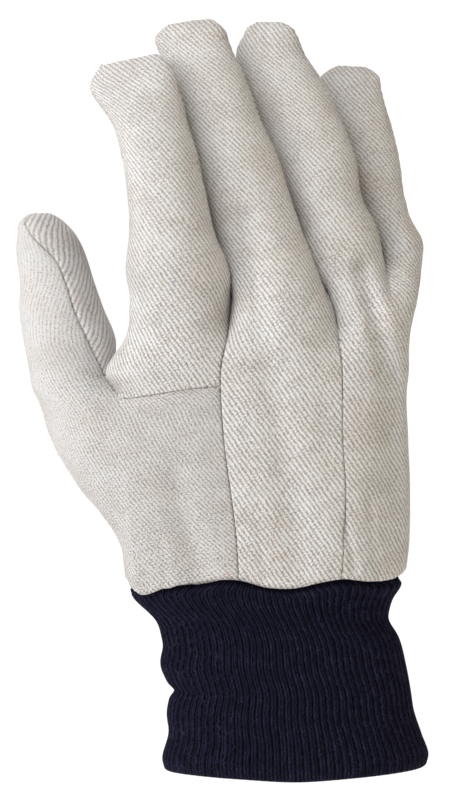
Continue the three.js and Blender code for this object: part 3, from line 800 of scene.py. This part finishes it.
def seam_stitches(name, runs):
    """Short threads across the seams, one to each stitch, as closed rods with rounded ends. Where the
    cloth turns sharply at a seam, as at the fingertips, it hides them."""
    points, faces = [], []
    for run in runs:
        numbers = np.array(SEAMS[run])
        far = far_along(CLOTH_POINTS[numbers])
        for at in np.arange(STITCH_LENGTH / 2, far[-1], STITCH_LENGTH):
            k = int(np.clip(np.searchsorted(far, at), BESIDE, len(numbers) - BESIDE - 1))
            number = numbers[k]
            if FLATNESS[number] < FLATTEST_EDGE:
                continue
            out = SHELL_NORMALS[number]
            way = unit(CLOTH_POINTS[numbers[k + BESIDE]] - CLOTH_POINTS[numbers[k - BESIDE]])
            middle = CLOTH_POINTS[number] + out * STITCH_LIFT
            side = unit(np.cross(way, out) + STITCH_SLANT * way)
            up = unit(np.cross(side, way))
            other = unit(np.cross(side, up))
            start = len(points)
            for share, thick in THREAD_RINGS:
                for s in range(THREAD_SIDES):
                    turn = 2 * math.pi * s / THREAD_SIDES
                    spoke = up * math.cos(turn) + other * math.sin(turn)
                    points.append(middle + side * share * STITCH_REACH + spoke * THREAD * thick)
            last = start + (len(THREAD_RINGS) - 1) * THREAD_SIDES
            for ring in range(start, last, THREAD_SIDES):
                for s in range(THREAD_SIDES):
                    a, b = ring + s, ring + (s + 1) % THREAD_SIDES
                    faces.append((a, b, b + THREAD_SIDES, a + THREAD_SIDES))
            faces.append(tuple(range(start + THREAD_SIDES - 1, start - 1, -1)))
            faces.append(tuple(range(last, last + THREAD_SIDES)))
    return new_object(name, points, faces)


stitches = seam_stitches("seam_stitches", ["side", "index_middle", "middle_ring", "cross"])


# The knitted wrist

# Creases that press the knit in: where round it (degrees from the little finger's side, by way of the palm),
# how high, how far they reach round (degrees) and up, and how deep. Lengths are in millimetres.
CUFF_CREASES = table("turn height round reach sink", [
    (180, 27.5, 26, 1.7, 1.7),
    (196, 41.0, 24, 3.0, 0.7),
    (168, 14.5, 30, 3.5, 0.6),
    (-4, 52.0, 30, 3.0, 0.8),
    (250, 45.0, 30, 4.0, 0.4),
    (300, 20.0, 34, 6.0, 0.35),
])

# How far the hem rises, in millimetres, at angles round it.
HEM_WAVE = table("turn rise", [
    (0, 2.0), (45, 1.2), (90, 0.2), (135, -0.4), (180, 0.3), (225, -0.6), (270, -1.4), (315, -0.2),
    (360, 2.0),
])

# The hem's round edge, how many rows it has, and how high the hem's wave fades out
HEM_ROUND = 1.15 * MM
HEM_STEPS = 4
HEM_WAVE_FADE = 34 * MM

# Ribs: how far they wander aside, in ribs, and how fast; their shape and how deep they are set; how high
# they are at the hem, as a share, and over which height they rise
RIB_WANDER, WANDER_TURN, WANDER_RISE = 0.18, 6, 13 * MM
RIB_POWER, RIB_SUNK = 0.75, 0.6
HEM_RIB, HEM_FADE = 0.3, 3.4 * MM

# Swells of the knit, the slant of its creases, and how much of swells and ribs shows inside, by fewer rows
CUFF_SWELL_SIZE, CUFF_SWELL, CUFF_SWELL_SHAPE = 17 * MM, 0.5 * MM, (1, 1, 0.7)
CREASE_SLANT = 0.3
INNER_SWELL, INNER_RIB = 0.7, 0.3 * MM
INNER_STEP = 3

# Below the cloth's edge: how fast the knit may widen, over which height its dents come in, and how its
# reach is evened out round it
CUFF_FLARE, TUCK_FADE = 1.7, 6 * MM
SPREAD_STEP, SPREAD_PASSES = 3, 2


OVAL_STEPS = 8


def even_turns(count):
    """Angles that step evenly along an oval of the cuff's width and depth."""
    fine = np.linspace(0, 2 * math.pi, count * OVAL_STEPS + 1)
    a, b = CUFF_WIDTH / 2, CUFF_DEPTH / 2
    middle = (fine[:-1] + fine[1:]) / 2
    lengths = np.concatenate([[0], np.cumsum(np.hypot(a * np.sin(middle), b * np.cos(middle)))])
    angles = np.interp(np.arange(count) / count * lengths[-1], lengths, fine)
    return np.arctan2(b * np.sin(angles), a * np.cos(angles)) % (2 * math.pi)


def cloth_room(turns, heights, axis):
    """The room inside the cloth: how far from the cuff's axis it reaches, and where its edge lies."""
    rows = MARKS[1] + 1
    ring = [IDS[d, "back"][:rows, :] for d in ORDER] + [IDS[d, "palm"][:rows, ::-1] for d in reversed(ORDER)]
    ring = np.concatenate(ring, axis=1)
    inner = CLOTH_POINTS[ring] + INWARD[ring]
    dx, dy = inner[..., 0] - axis, inner[..., 1]
    angle, reach = np.arctan2(dy, dx) % (2 * math.pi), np.hypot(dx, dy)
    by_row, by_height = [], []
    for k in range(rows):
        order = np.argsort(angle[k])
        by_row.append(np.interp(turns, angle[k][order], reach[k][order], period=2 * math.pi))
        by_height.append(np.interp(turns, angle[k][order], inner[k, :, 2][order], period=2 * math.pi))
    by_row, by_height = np.array(by_row), np.array(by_height)
    room = np.empty((len(heights), len(turns)))
    for k in range(len(turns)):
        room[:, k] = np.interp(heights, by_height[:, k], by_row[:, k])
    return room, by_height[0]


def wandering_turns(turns, rib, heights):
    """The angle of each point of the cuff, in rows, with ribs that wander a little to the side."""
    rounds = [np.cos(turns) * WANDER_TURN, np.sin(turns) * WANDER_TURN]
    known = np.append(rib, RIB_COUNT), np.append(turns, turns[0] + 2 * math.pi)
    rows = []
    for height in heights:
        where = np.stack([*rounds, np.full(len(turns), height / WANDER_RISE)], axis=1)
        wander = RIB_WANDER * noise(where, 1.0, seed=11)
        rows.append(np.interp((rib + wander) % RIB_COUNT, *known))
    return np.array(rows)


def cuff_dents(base, degrees, heights):
    """How far swells and creases move the knit out or in."""
    dents = CUFF_SWELL * noise(base.reshape(-1, 3) * CUFF_SWELL_SHAPE, CUFF_SWELL_SIZE, seed=13)
    dents = dents.reshape(degrees.shape)
    for crease in rows_of(CUFF_CREASES):
        aside = ((degrees - crease["turn"] + 180) % 360 - 180) / crease["round"]
        up = (heights[:, None] / MM - crease["height"]) / crease["reach"]
        dents -= crease["sink"] * MM * np.exp(-(aside**2) - (up + CREASE_SLANT * aside) ** 2)
    return dents


def knit_wrist():
    """The ribbed tube, outside and inside, from its hem to where it is sewn inside the cloth."""
    count = RIB_COUNT * FACES_PER_RIB
    rib = np.arange(count) / FACES_PER_RIB
    turns = even_turns(count)
    top = CUFF_SECTIONS["up"][-1] * CUFF_LENGTH
    hem_rows = HEM_ROUND * (1 - np.cos(np.linspace(0, math.pi / 2, HEM_STEPS + 1)[1:]))
    heights = np.concatenate([hem_rows, np.linspace(HEM_ROUND, top, math.ceil(top / CUFF_STEP))[1:]])
    shares = heights / CUFF_LENGTH
    at = {name: smooth_curve(CUFF_SECTIONS["up"], values, shares) for name, values in CUFF_SECTIONS.items()}
    turned = wandering_turns(turns, rib, heights)
    way = np.stack([np.cos(turned), np.sin(turned)], axis=-1)
    wide, deep = at["wide"] * CUFF_WIDTH / 2, at["deep"] * CUFF_DEPTH / 2
    free = 1 / np.hypot(way[..., 0] / wide[:, None], way[..., 1] / deep[:, None])
    axis = at["axis"] * CUFF_WIDTH

    def ring_points(size, rows):
        return np.stack([axis[:, None] + way[..., 0] * size, way[..., 1] * size, rows], axis=-1)

    room, edge = cloth_room(turns, heights, CUFF_SECTIONS["axis"][-1] * CUFF_WIDTH)
    below = np.clip(edge[None, :] - heights[:, None], 0, None)
    reach = np.minimum(free, room - TUCK_GAP - RIB_HEIGHT + CUFF_FLARE * below)
    for _ in range(SPREAD_PASSES):
        reach = (np.roll(reach, SPREAD_STEP, axis=1) + reach + np.roll(reach, -SPREAD_STEP, axis=1)) / 3
    reach[1:-1] = (reach[:-2] + 2 * reach[1:-1] + reach[2:]) / 4
    degrees = np.degrees(turned)
    dents = cuff_dents(ring_points(reach, np.broadcast_to(heights[:, None], reach.shape)), degrees, heights)
    dents *= 1 - ease(1 - below / TUCK_FADE)
    ridge = np.sin(math.pi * (rib % 1.0)) ** RIB_POWER - RIB_SUNK
    strength = mix(HEM_RIB, 1.0, ease((heights - HEM_ROUND) / HEM_FADE))[:, None]
    hem = HEM_ROUND - np.sqrt(np.maximum(HEM_ROUND**2 - np.clip(HEM_ROUND - heights, 0, None) ** 2, 0))
    outer_size = reach + dents - hem[:, None] + RIB_HEIGHT * strength * ridge
    inner_size = reach + dents * INNER_SWELL - KNIT + hem[:, None] - INNER_RIB * ridge * strength
    rise = smooth_curve(HEM_WAVE["turn"], HEM_WAVE["rise"], degrees % 360) * MM
    raised = heights[:, None] + rise * (1 - ease(heights / HEM_WAVE_FADE))[:, None]
    own = HEM_STEPS + 1
    inner_rows = [*range(own), *range(own, len(heights), INNER_STEP), len(heights) - 1]
    kept = np.unique(inner_rows)[::-1]
    loop = np.concatenate([ring_points(outer_size, raised), ring_points(inner_size, raised)[kept]])
    rows = len(loop)
    i, j = np.meshgrid(np.arange(rows), np.arange(count), indexing="ij")
    following, beside = (i + 1) % rows, (j + 1) % count
    ring, above = i * count, following * count
    faces = np.stack([ring + j, ring + beside, above + beside, above + j], -1)
    along = np.concatenate([heights, heights[kept]]) / MAP_UNIT
    u = np.stack([j, j + 1, j + 1, j], -1) / FACES_PER_RIB
    w = np.stack([along[i], along[i], along[following], along[following]], -1)
    uvs = np.stack([u, w], -1).reshape(-1, 2)
    return new_object("knit_wrist", loop.reshape(-1, 3), faces.reshape(-1, 4), uvs, "knit")


cuff = knit_wrist()


# Materials

# How far from its middle a speck has its full colour, in cells of its pattern
SPECK_CORE = 0.03


class Shader:
    """A material's nodes, added one after the other."""

    def __init__(self, name):
        self.material = bpy.data.materials.new(name)
        self.material.use_nodes = True
        self.tree = self.material.node_tree
        self.base = self.tree.nodes["Principled BSDF"]

    def put(self, socket, value):
        if isinstance(value, bpy.types.NodeSocket):
            self.tree.links.new(value, socket)
        else:
            socket.default_value = value

    def node(self, kind, inputs=None, **settings):
        node = self.tree.nodes.new("ShaderNode" + kind)
        for name, value in settings.items():
            setattr(node, name, value)
        for name, value in (inputs or {}).items():
            self.put(node.inputs[name], value)
        return node

    def math(self, operation, *values):
        return self.node("Math", dict(enumerate(values)), operation=operation).outputs[0]

    def add(self, *values):
        return reduce(lambda a, b: self.math("ADD", a, b), values)

    def times(self, *values):
        return reduce(lambda a, b: self.math("MULTIPLY", a, b), values)

    def minus(self, a, b):
        return self.math("SUBTRACT", a, b)

    def above(self, low, share):
        """A share from 0 to 1 laid between a low value and 1."""
        return self.add(low, self.times(share, 1 - low))

    def mix(self, share, a, b):
        return self.node("Mix", {0: share, 6: a, 7: b}, data_type="RGBA").outputs[2]

    def noise(self, where, scale, detail=2.0, rough=0.5):
        node = self.node("TexNoise", {"Vector": where, "Scale": scale, "Detail": detail, "Roughness": rough})
        return node.outputs["Fac"]

    def sway(self, where, size, *noise):
        """Noise about zero, as strong as the size."""
        return self.times(self.minus(self.noise(where, *noise), 0.5), size)

    def steps(self, value, low, high):
        """0 up to the low value and 1 from the high one on, with a soft step between."""
        inputs = {"Value": value, "From Min": low, "From Max": high}
        return self.node("MapRange", inputs, interpolation_type="SMOOTHSTEP").outputs[0]

    def lot(self, number):
        """One random value from 0 to 1 for each whole number."""
        return self.node("TexWhiteNoise", {"W": number}, noise_dimensions="1D").outputs["Value"]

    def parts(self, vector):
        return self.node("SeparateXYZ", {0: vector}).outputs

    def vector(self, operation, a, b):
        return self.node("VectorMath", {0: a, 1: b}, operation=operation).outputs[0]

    def off_middle(self, share):
        """0 in the middle of a share from 0 to 1, and 1 at both its ends."""
        return self.math("ABSOLUTE", self.minus(self.times(share, 2.0), 1.0))

    def hill(self, share, power):
        """1 in the middle of a share, and 0 at its ends, with flanks as steep as the power."""
        return self.minus(1.0, self.math("POWER", self.off_middle(share), power))

    def specks(self, colour, where, scale, rarity, size, strength, tint):
        """Round specks of a tint on a colour: how closely they may lie, how rare and how large they are."""
        cell = self.node("TexVoronoi", {"Vector": where, "Scale": scale, "Randomness": 1.0})
        rare = self.math("GREATER_THAN", self.parts(cell.outputs["Color"])[0], rarity)
        dot = self.steps(cell.outputs["Distance"], size, SPECK_CORE)
        return self.mix(self.times(rare, dot, strength), colour, tint)

    def surface(self, colour, looks, height=None, strength=1.0, distance=0.0):
        """Joins a colour, the values of other inputs and a bump's height to the surface."""
        for name, value in {"Base Color": colour, **looks}.items():
            self.put(self.base.inputs[name], value)
        if height is not None:
            bump = self.node("Bump", {"Height": height, "Strength": strength, "Distance": distance})
            self.put(self.base.inputs["Normal"], bump.outputs[0])
        return self.material


# Cotton drill. Lengths are in millimetres of cloth. A noise is its scale, in swells to a centimetre, its
# detail and its roughness, and the first number of a sway is how far it goes.
WALE_PITCH, WALE_TURN, WALE_POWER = 1.5, math.radians(35), 1.7
WALE_DRIFT, WALE_JITTER = (0.9, 1.1, 3.0), (0.85, 13.0, 2.0)
FLOAT_LENGTH, FLOAT_POWER, FLOAT_LOW = 1.05, 2.0, 0.5
FLOAT_SHIFT, FLOAT_JITTER, FLOAT_SPREAD = 0.37, 1.2, 0.35
COTTON_FUZZ = (17.0, 3.0, 0.75)
COTTON_BUMP = (0.85, 0.4 * MM)
COTTON_LOOKS = {"Roughness": 0.92, "Specular IOR Level": 0.18, "Sheen Weight": 0.12, "Sheen Roughness": 0.6}

# How strongly wales stand out, and how much more in patches, where the painted shade between them also grows
# deeper; how high the cloth lies without relief, and how much lower with it
WALE_STRENGTH, PATCH_WALE_STRENGTH = 0.62, 0.3
PLAIN_LEVEL, RELIEF_DROP = 0.62, 0.55

# Patches of the cloth that differ, and from where to where each difference comes in
PATCHES, BROAD_PATCHES = (0.9, 3.0, 0.6), (0.55, 4.0, 0.6)
STRONG_WALE_PATCHES, COOL_PATCHES, WARM_PATCHES = (0.35, 0.65), (0.5, 0.7), (0.42, 0.66)
COOL_SHARE, WALE_COOL, YARN_WARM = 0.5, 0.3, 0.16

# The cloth's height over which the painted shade between its wales goes to light, and how light the deepest
# painted shade still is
SHADE_RANGE, DEEPEST = (-0.05, 0.75), 0.14

CREAM = (0.84, 0.81, 0.79, 1)
CREAM_WARM = (0.82, 0.765, 0.725, 1)
CREAM_COOL = (0.79, 0.80, 0.80, 1)
# Painted shade between the wales, darker on the hand and lighter on the fingers; the heights up the cloth, in
# millimetres, over which it turns lighter; and how far it is lifted over the smooth stretch
WALE_GROOVE_SHADE = (0.20, 0.165, 0.14, 1)
FINGER_GROOVE_SHADE = (0.28, 0.24, 0.21, 1)
LIGHTER_SHADE_HEIGHTS = (145.0, 200.0)
SMOOTH_SHADE_LIFT = 0.24

# Stray coloured fibres: scale, rarity, size and strength, then each colour with where its pattern lies
FIBRES = (1.15, 0.93, 0.075, 0.6)
FIBRE_COLOURS = ((3.7, (0.80, 0.22, 0.10, 1)), (11.9, (0.16, 0.22, 0.42, 1)), (23.3, (0.45, 0.33, 0.17, 1)))
FIBRE_SLOPE = 2.3


def drill_cotton(name, relief, grain, smooth=None):
    """Coarse cotton drill: diagonal wales of yarn floats, with slubs, a rough grain and painted shade between
    the wales that follows their height. relief: how strongly the wales stand out of the grain, from 0 to 1.
    grain: how strong that is. smooth: the places across the cloth between which the painted shade between its
    wales is made lighter."""
    s = Shader(name)
    flat = s.node("UVMap", uv_map="cloth").outputs["UV"]
    u, w = (s.times(place, MAP_UNIT / MM) for place in s.parts(flat)[:2])
    cos, sin = math.cos(WALE_TURN), math.sin(WALE_TURN)
    over = s.add(s.times(u, cos), s.times(w, sin))
    along = s.minus(s.times(u, sin), s.times(w, cos))
    jitter = s.sway(flat, *WALE_JITTER)
    phase = s.add(s.math("DIVIDE", over, WALE_PITCH), s.sway(flat, *WALE_DRIFT), jitter)
    number = s.math("FLOOR", phase)
    wale = s.hill(s.math("FRACT", phase), WALE_POWER)
    own = s.lot(number)
    floats = s.add(s.math("DIVIDE", along, FLOAT_LENGTH), s.times(number, FLOAT_SHIFT),
                   s.times(jitter, FLOAT_JITTER), s.times(own, FLOAT_SPREAD))
    single = s.hill(s.math("FRACT", floats), FLOAT_POWER)
    patches = s.noise(flat, *PATCHES)
    # Patches where the wales stand out more, which also deepens the painted shade between them
    relief_and_highlight_patch = s.steps(patches, *STRONG_WALE_PATCHES)
    strength = s.times(s.add(WALE_STRENGTH, s.times(relief_and_highlight_patch, PATCH_WALE_STRENGTH)), relief)
    raised = s.add(PLAIN_LEVEL - RELIEF_DROP * relief, s.times(wale, strength))
    height = s.times(raised, s.above(FLOAT_LOW, single))
    height = s.add(height, s.sway(flat, grain, *COTTON_FUZZ))
    yarn_place = s.node("CombineXYZ", {0: number, 1: s.math("FLOOR", floats)}).outputs[0]
    yarn = s.node("TexWhiteNoise", {"Vector": yarn_place}, noise_dimensions="2D").outputs["Value"]
    cream = s.mix(s.steps(s.noise(flat, *BROAD_PATCHES), *WARM_PATCHES), CREAM, CREAM_WARM)
    cream = s.mix(s.times(s.steps(patches, *COOL_PATCHES), COOL_SHARE), cream, CREAM_COOL)
    cream = s.mix(s.times(own, WALE_COOL), cream, CREAM_COOL)
    cream = s.mix(s.times(yarn, YARN_WARM), cream, CREAM_WARM)
    # Painted shade: the cream goes towards the dark groove colour where the wales' height is low, less so
    # over the smooth stretch
    filled = s.times(s.steps(u, *smooth), SMOOTH_SHADE_LIFT) if smooth else 0.0
    shade = s.steps(s.add(height, filled), *SHADE_RANGE)
    between = s.mix(s.steps(w, *LIGHTER_SHADE_HEIGHTS), WALE_GROOVE_SHADE, FINGER_GROOVE_SHADE)
    colour = s.mix(s.above(DEEPEST, shade), between, cream)
    for shift, tint in FIBRE_COLOURS:
        moved = s.vector("ADD", flat, (shift, shift * FIBRE_SLOPE, 0))
        colour = s.specks(colour, moved, *FIBRES, tint)
    return s.surface(colour, COTTON_LOOKS, height, *COTTON_BUMP)


# Rib knit: a rib's width on the flat map, the height of a row of stitches in millimetres, how steep its
# loops stand and how unevenly
RIB_WIDTH = 0.26
STITCH_ROW, LOOP_SLANT, ROW_NOISE, ROW_SPREAD = 1.2, 0.75, (6.0, 1.0), 0.35
RIB_WOBBLE = (0.75, 7.0, 3.0, 0.6)
KNIT_FUZZ = (1.3, 24.0, 3.0, 0.75)
LEG_LOW, LOOP_LOW, LOOP_POWER = 0.05, 0.62, 2.0

# Crests of the ribs and the patches on them that get a painted highlight, and from where to where each comes
# in
CREST_POWER, CREST_RANGE = 3.0, (0.2, 0.85)
HIGHLIGHT_PATCHES, HIGHLIGHT_RANGE, HIGHLIGHT_HEIGHTS, HIGHLIGHT_SHARE = (2.2, 5.0, 0.7), (0.38, 0.7), (0.3, 1.1), 0.75
# Heights of the knit over which the painted shade in its grooves gives way to navy
GROOVE_SHADE_HEIGHTS = (0.05, 0.6)
# The knit's own navy, a painted highlight for its crests and painted shade for its grooves
NAVY = (0.0085, 0.0083, 0.026, 1)
NAVY_HIGHLIGHT = (0.034, 0.034, 0.078, 1)
NAVY_GROOVE_SHADE = (0.0008, 0.0008, 0.0024, 1)
KNIT_BUMP = (1.0, 0.5 * MM)
KNIT_LOOKS = {
    "Roughness": 0.9,
    "Specular IOR Level": 0.1,
    "Sheen Weight": 0.07,
    "Sheen Roughness": 0.5,
    "Sheen Tint": (0.10, 0.11, 0.24, 1),
}

# Lint: scale, rarity, size and strength
LINT = (2.6, 0.9, 0.07, 0.35)
LINT_COLOUR = (0.20, 0.20, 0.25, 1)


def rib_knit(name):
    """Navy rib knit: each rib a column of small V-shaped loops, with painted shade in its grooves, a painted
    highlight on its crests in patches, and lint caught in it.
    """
    s = Shader(name)
    flat = s.node("UVMap", uv_map="knit").outputs["UV"]
    place = s.parts(flat)
    level = s.vector("MULTIPLY", flat, (RIB_WIDTH, 1.0, 1.0))
    rib = s.add(place[0], s.sway(level, *RIB_WOBBLE))
    side = s.off_middle(s.math("FRACT", rib))
    up = s.math("DIVIDE", s.times(place[1], MAP_UNIT / MM), STITCH_ROW)
    rows = s.add(s.minus(up, s.times(side, LOOP_SLANT)), s.lot(s.math("FLOOR", rib)),
                 s.times(s.noise(flat, *ROW_NOISE), ROW_SPREAD))
    loop = s.hill(s.math("FRACT", rows), LOOP_POWER)
    leg = s.math("SINE", s.times(side, math.pi))
    height = s.times(s.above(LEG_LOW, leg), s.above(LOOP_LOW, loop))
    height = s.add(height, s.sway(level, *KNIT_FUZZ))
    crest = s.times(s.minus(1.0, s.math("POWER", side, CREST_POWER)), s.steps(leg, *CREST_RANGE))
    # Painted shade: the grooves and the low places between the loops go near black
    colour = s.mix(s.times(crest, s.steps(height, *GROOVE_SHADE_HEIGHTS)), NAVY_GROOVE_SHADE, NAVY)
    # Painted highlight: lighter navy on the rib crests, in patches and on the high places
    relief_and_highlight_patch = s.times(s.steps(s.noise(level, *HIGHLIGHT_PATCHES), *HIGHLIGHT_RANGE), s.steps(height, *HIGHLIGHT_HEIGHTS))
    colour = s.mix(s.times(relief_and_highlight_patch, crest, HIGHLIGHT_SHARE), colour, NAVY_HIGHLIGHT)
    colour = s.specks(colour, level, *LINT, LINT_COLOUR)
    return s.surface(colour, KNIT_LOOKS, height, *KNIT_BUMP)


THREAD_TWIST = 3500.0
THREAD_BUMP = (0.4, 0.05 * MM)
THREAD_DARK, THREAD_LIGHT = (0.50, 0.45, 0.39, 1), (0.78, 0.73, 0.66, 1)


def sewing_thread(name):
    """Matt cream cotton thread with a fine twist."""
    s = Shader(name)
    twist = s.noise(s.node("TexCoord").outputs["Object"], THREAD_TWIST)
    return s.surface(s.mix(twist, THREAD_DARK, THREAD_LIGHT), {"Roughness": 0.85}, twist, *THREAD_BUMP)


cotton = drill_cotton("cream_drill", 1.0, 2.1)
soft_cotton = drill_cotton("cream_drill_flat", 0.8, 3.1, smooth=(-8.0, -38.0))
for node, panel in PANELS.items():
    panel.data.materials.append(soft_cotton if node == "thumb_back" else cotton)
    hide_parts(node)
    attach(panel, "root")
cuff.data.materials.append(rib_knit("navy_rib_knit"))
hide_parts("knit_cuff")
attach(cuff, "root")
stitches.data.materials.append(sewing_thread("cream_thread"))
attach(stitches, "root")


# Studio

CAMERA_AT = (-0.0204, -1.2, 0.12614)
LENS, SENSOR = 158.8, 36
FLOOR_HEIGHT = -0.16
FLOOR_RADIUS = 1.15
FLOOR_SIDES = 96
FLOOR_SPECKLE = 40.0
FLOOR_DARK, FLOOR_LIGHT = (0.92, 0.92, 0.92, 1), (0.95, 0.95, 0.95, 1)
FLOOR_LOOKS = {"Roughness": 0.9, "Emission Color": (1, 1, 1, 1), "Emission Strength": 0.45}


def studio_floor():
    """A plain pale disc under the glove."""
    angles = np.linspace(0, 2 * math.pi, FLOOR_SIDES + 1)[:-1]
    points = [(FLOOR_RADIUS * math.cos(a), FLOOR_RADIUS * math.sin(a), FLOOR_HEIGHT) for a in angles]
    floor = new_object("studio_floor", points, [tuple(range(FLOOR_SIDES))])
    s = Shader("pale_floor")
    speckle = s.noise(s.node("TexCoord").outputs["Object"], FLOOR_SPECKLE)
    colour = s.mix(speckle, FLOOR_DARK, FLOOR_LIGHT)
    floor.data.materials.append(s.surface(colour, FLOOR_LOOKS))
    return floor


studio_floor()

# Each light: its place, its width and height, its power and its tint. All face the glove's middle.
GLOVE_MIDDLE = (-0.02, 0.0, 0.12)
NEUTRAL, WARM = (0.985, 0.99, 1.0), (1.0, 0.89, 0.66)
LIGHTS = {
    "key_light": ((-0.44, -0.5, 1.0), (0.6, 0.6), 9.3, NEUTRAL),
    "left_light": ((-1.3, -0.75, 0.5), (0.8, 1.0), 13.8, NEUTRAL),
    "right_light": ((1.35, -0.45, 0.35), (0.9, 1.1), 5.9, WARM),
    "back_light": ((0.35, 1.6, 0.7), (0.9, 0.9), 15.0, NEUTRAL),
}


def softbox(name, place, size, power, tint):
    data = bpy.data.lights.new(name, "AREA")
    data.shape = "RECTANGLE"
    data.size, data.size_y = size
    data.energy = power
    data.color = tint
    lamp = bpy.data.objects.new(name, data)
    lamp.location = place
    lamp.rotation_euler = (Vector(GLOVE_MIDDLE) - Vector(place)).to_track_quat("-Z", "Y").to_euler()
    bpy.context.scene.collection.objects.link(lamp)


for name, settings in LIGHTS.items():
    softbox(name, *settings)

# The world's light, how bright the camera sees it, and the light's tint
WORLD_LIGHT, WORLD_SEEN, WORLD_TINT = 0.13, 1.05, (1.0, 0.95, 0.87, 1)

world = bpy.data.worlds.new("pale_studio")
world.use_nodes = True
tree = world.node_tree
background = tree.nodes["Background"]
seen = tree.nodes.new("ShaderNodeLightPath").outputs["Is Camera Ray"]
level = tree.nodes.new("ShaderNodeMapRange")
level.inputs["To Min"].default_value = WORLD_LIGHT
level.inputs["To Max"].default_value = WORLD_SEEN
tree.links.new(seen, level.inputs["Value"])
tree.links.new(level.outputs[0], background.inputs["Strength"])
tint = tree.nodes.new("ShaderNodeMix")
tint.data_type = "RGBA"
tint.inputs[6].default_value = WORLD_TINT
tint.inputs[7].default_value = (1, 1, 1, 1)
tree.links.new(seen, tint.inputs[0])
tree.links.new(tint.outputs[2], background.inputs["Color"])
bpy.context.scene.world = world
bpy.context.scene.view_settings.view_transform = "Standard"

lens = bpy.data.cameras.new("camera")
lens.lens = LENS
lens.sensor_width = SENSOR
camera = bpy.data.objects.new("camera", lens)
camera.location = CAMERA_AT
camera.rotation_euler = (math.pi / 2, 0, 0)
bpy.context.scene.collection.objects.link(camera)
bpy.context.scene.camera = camera
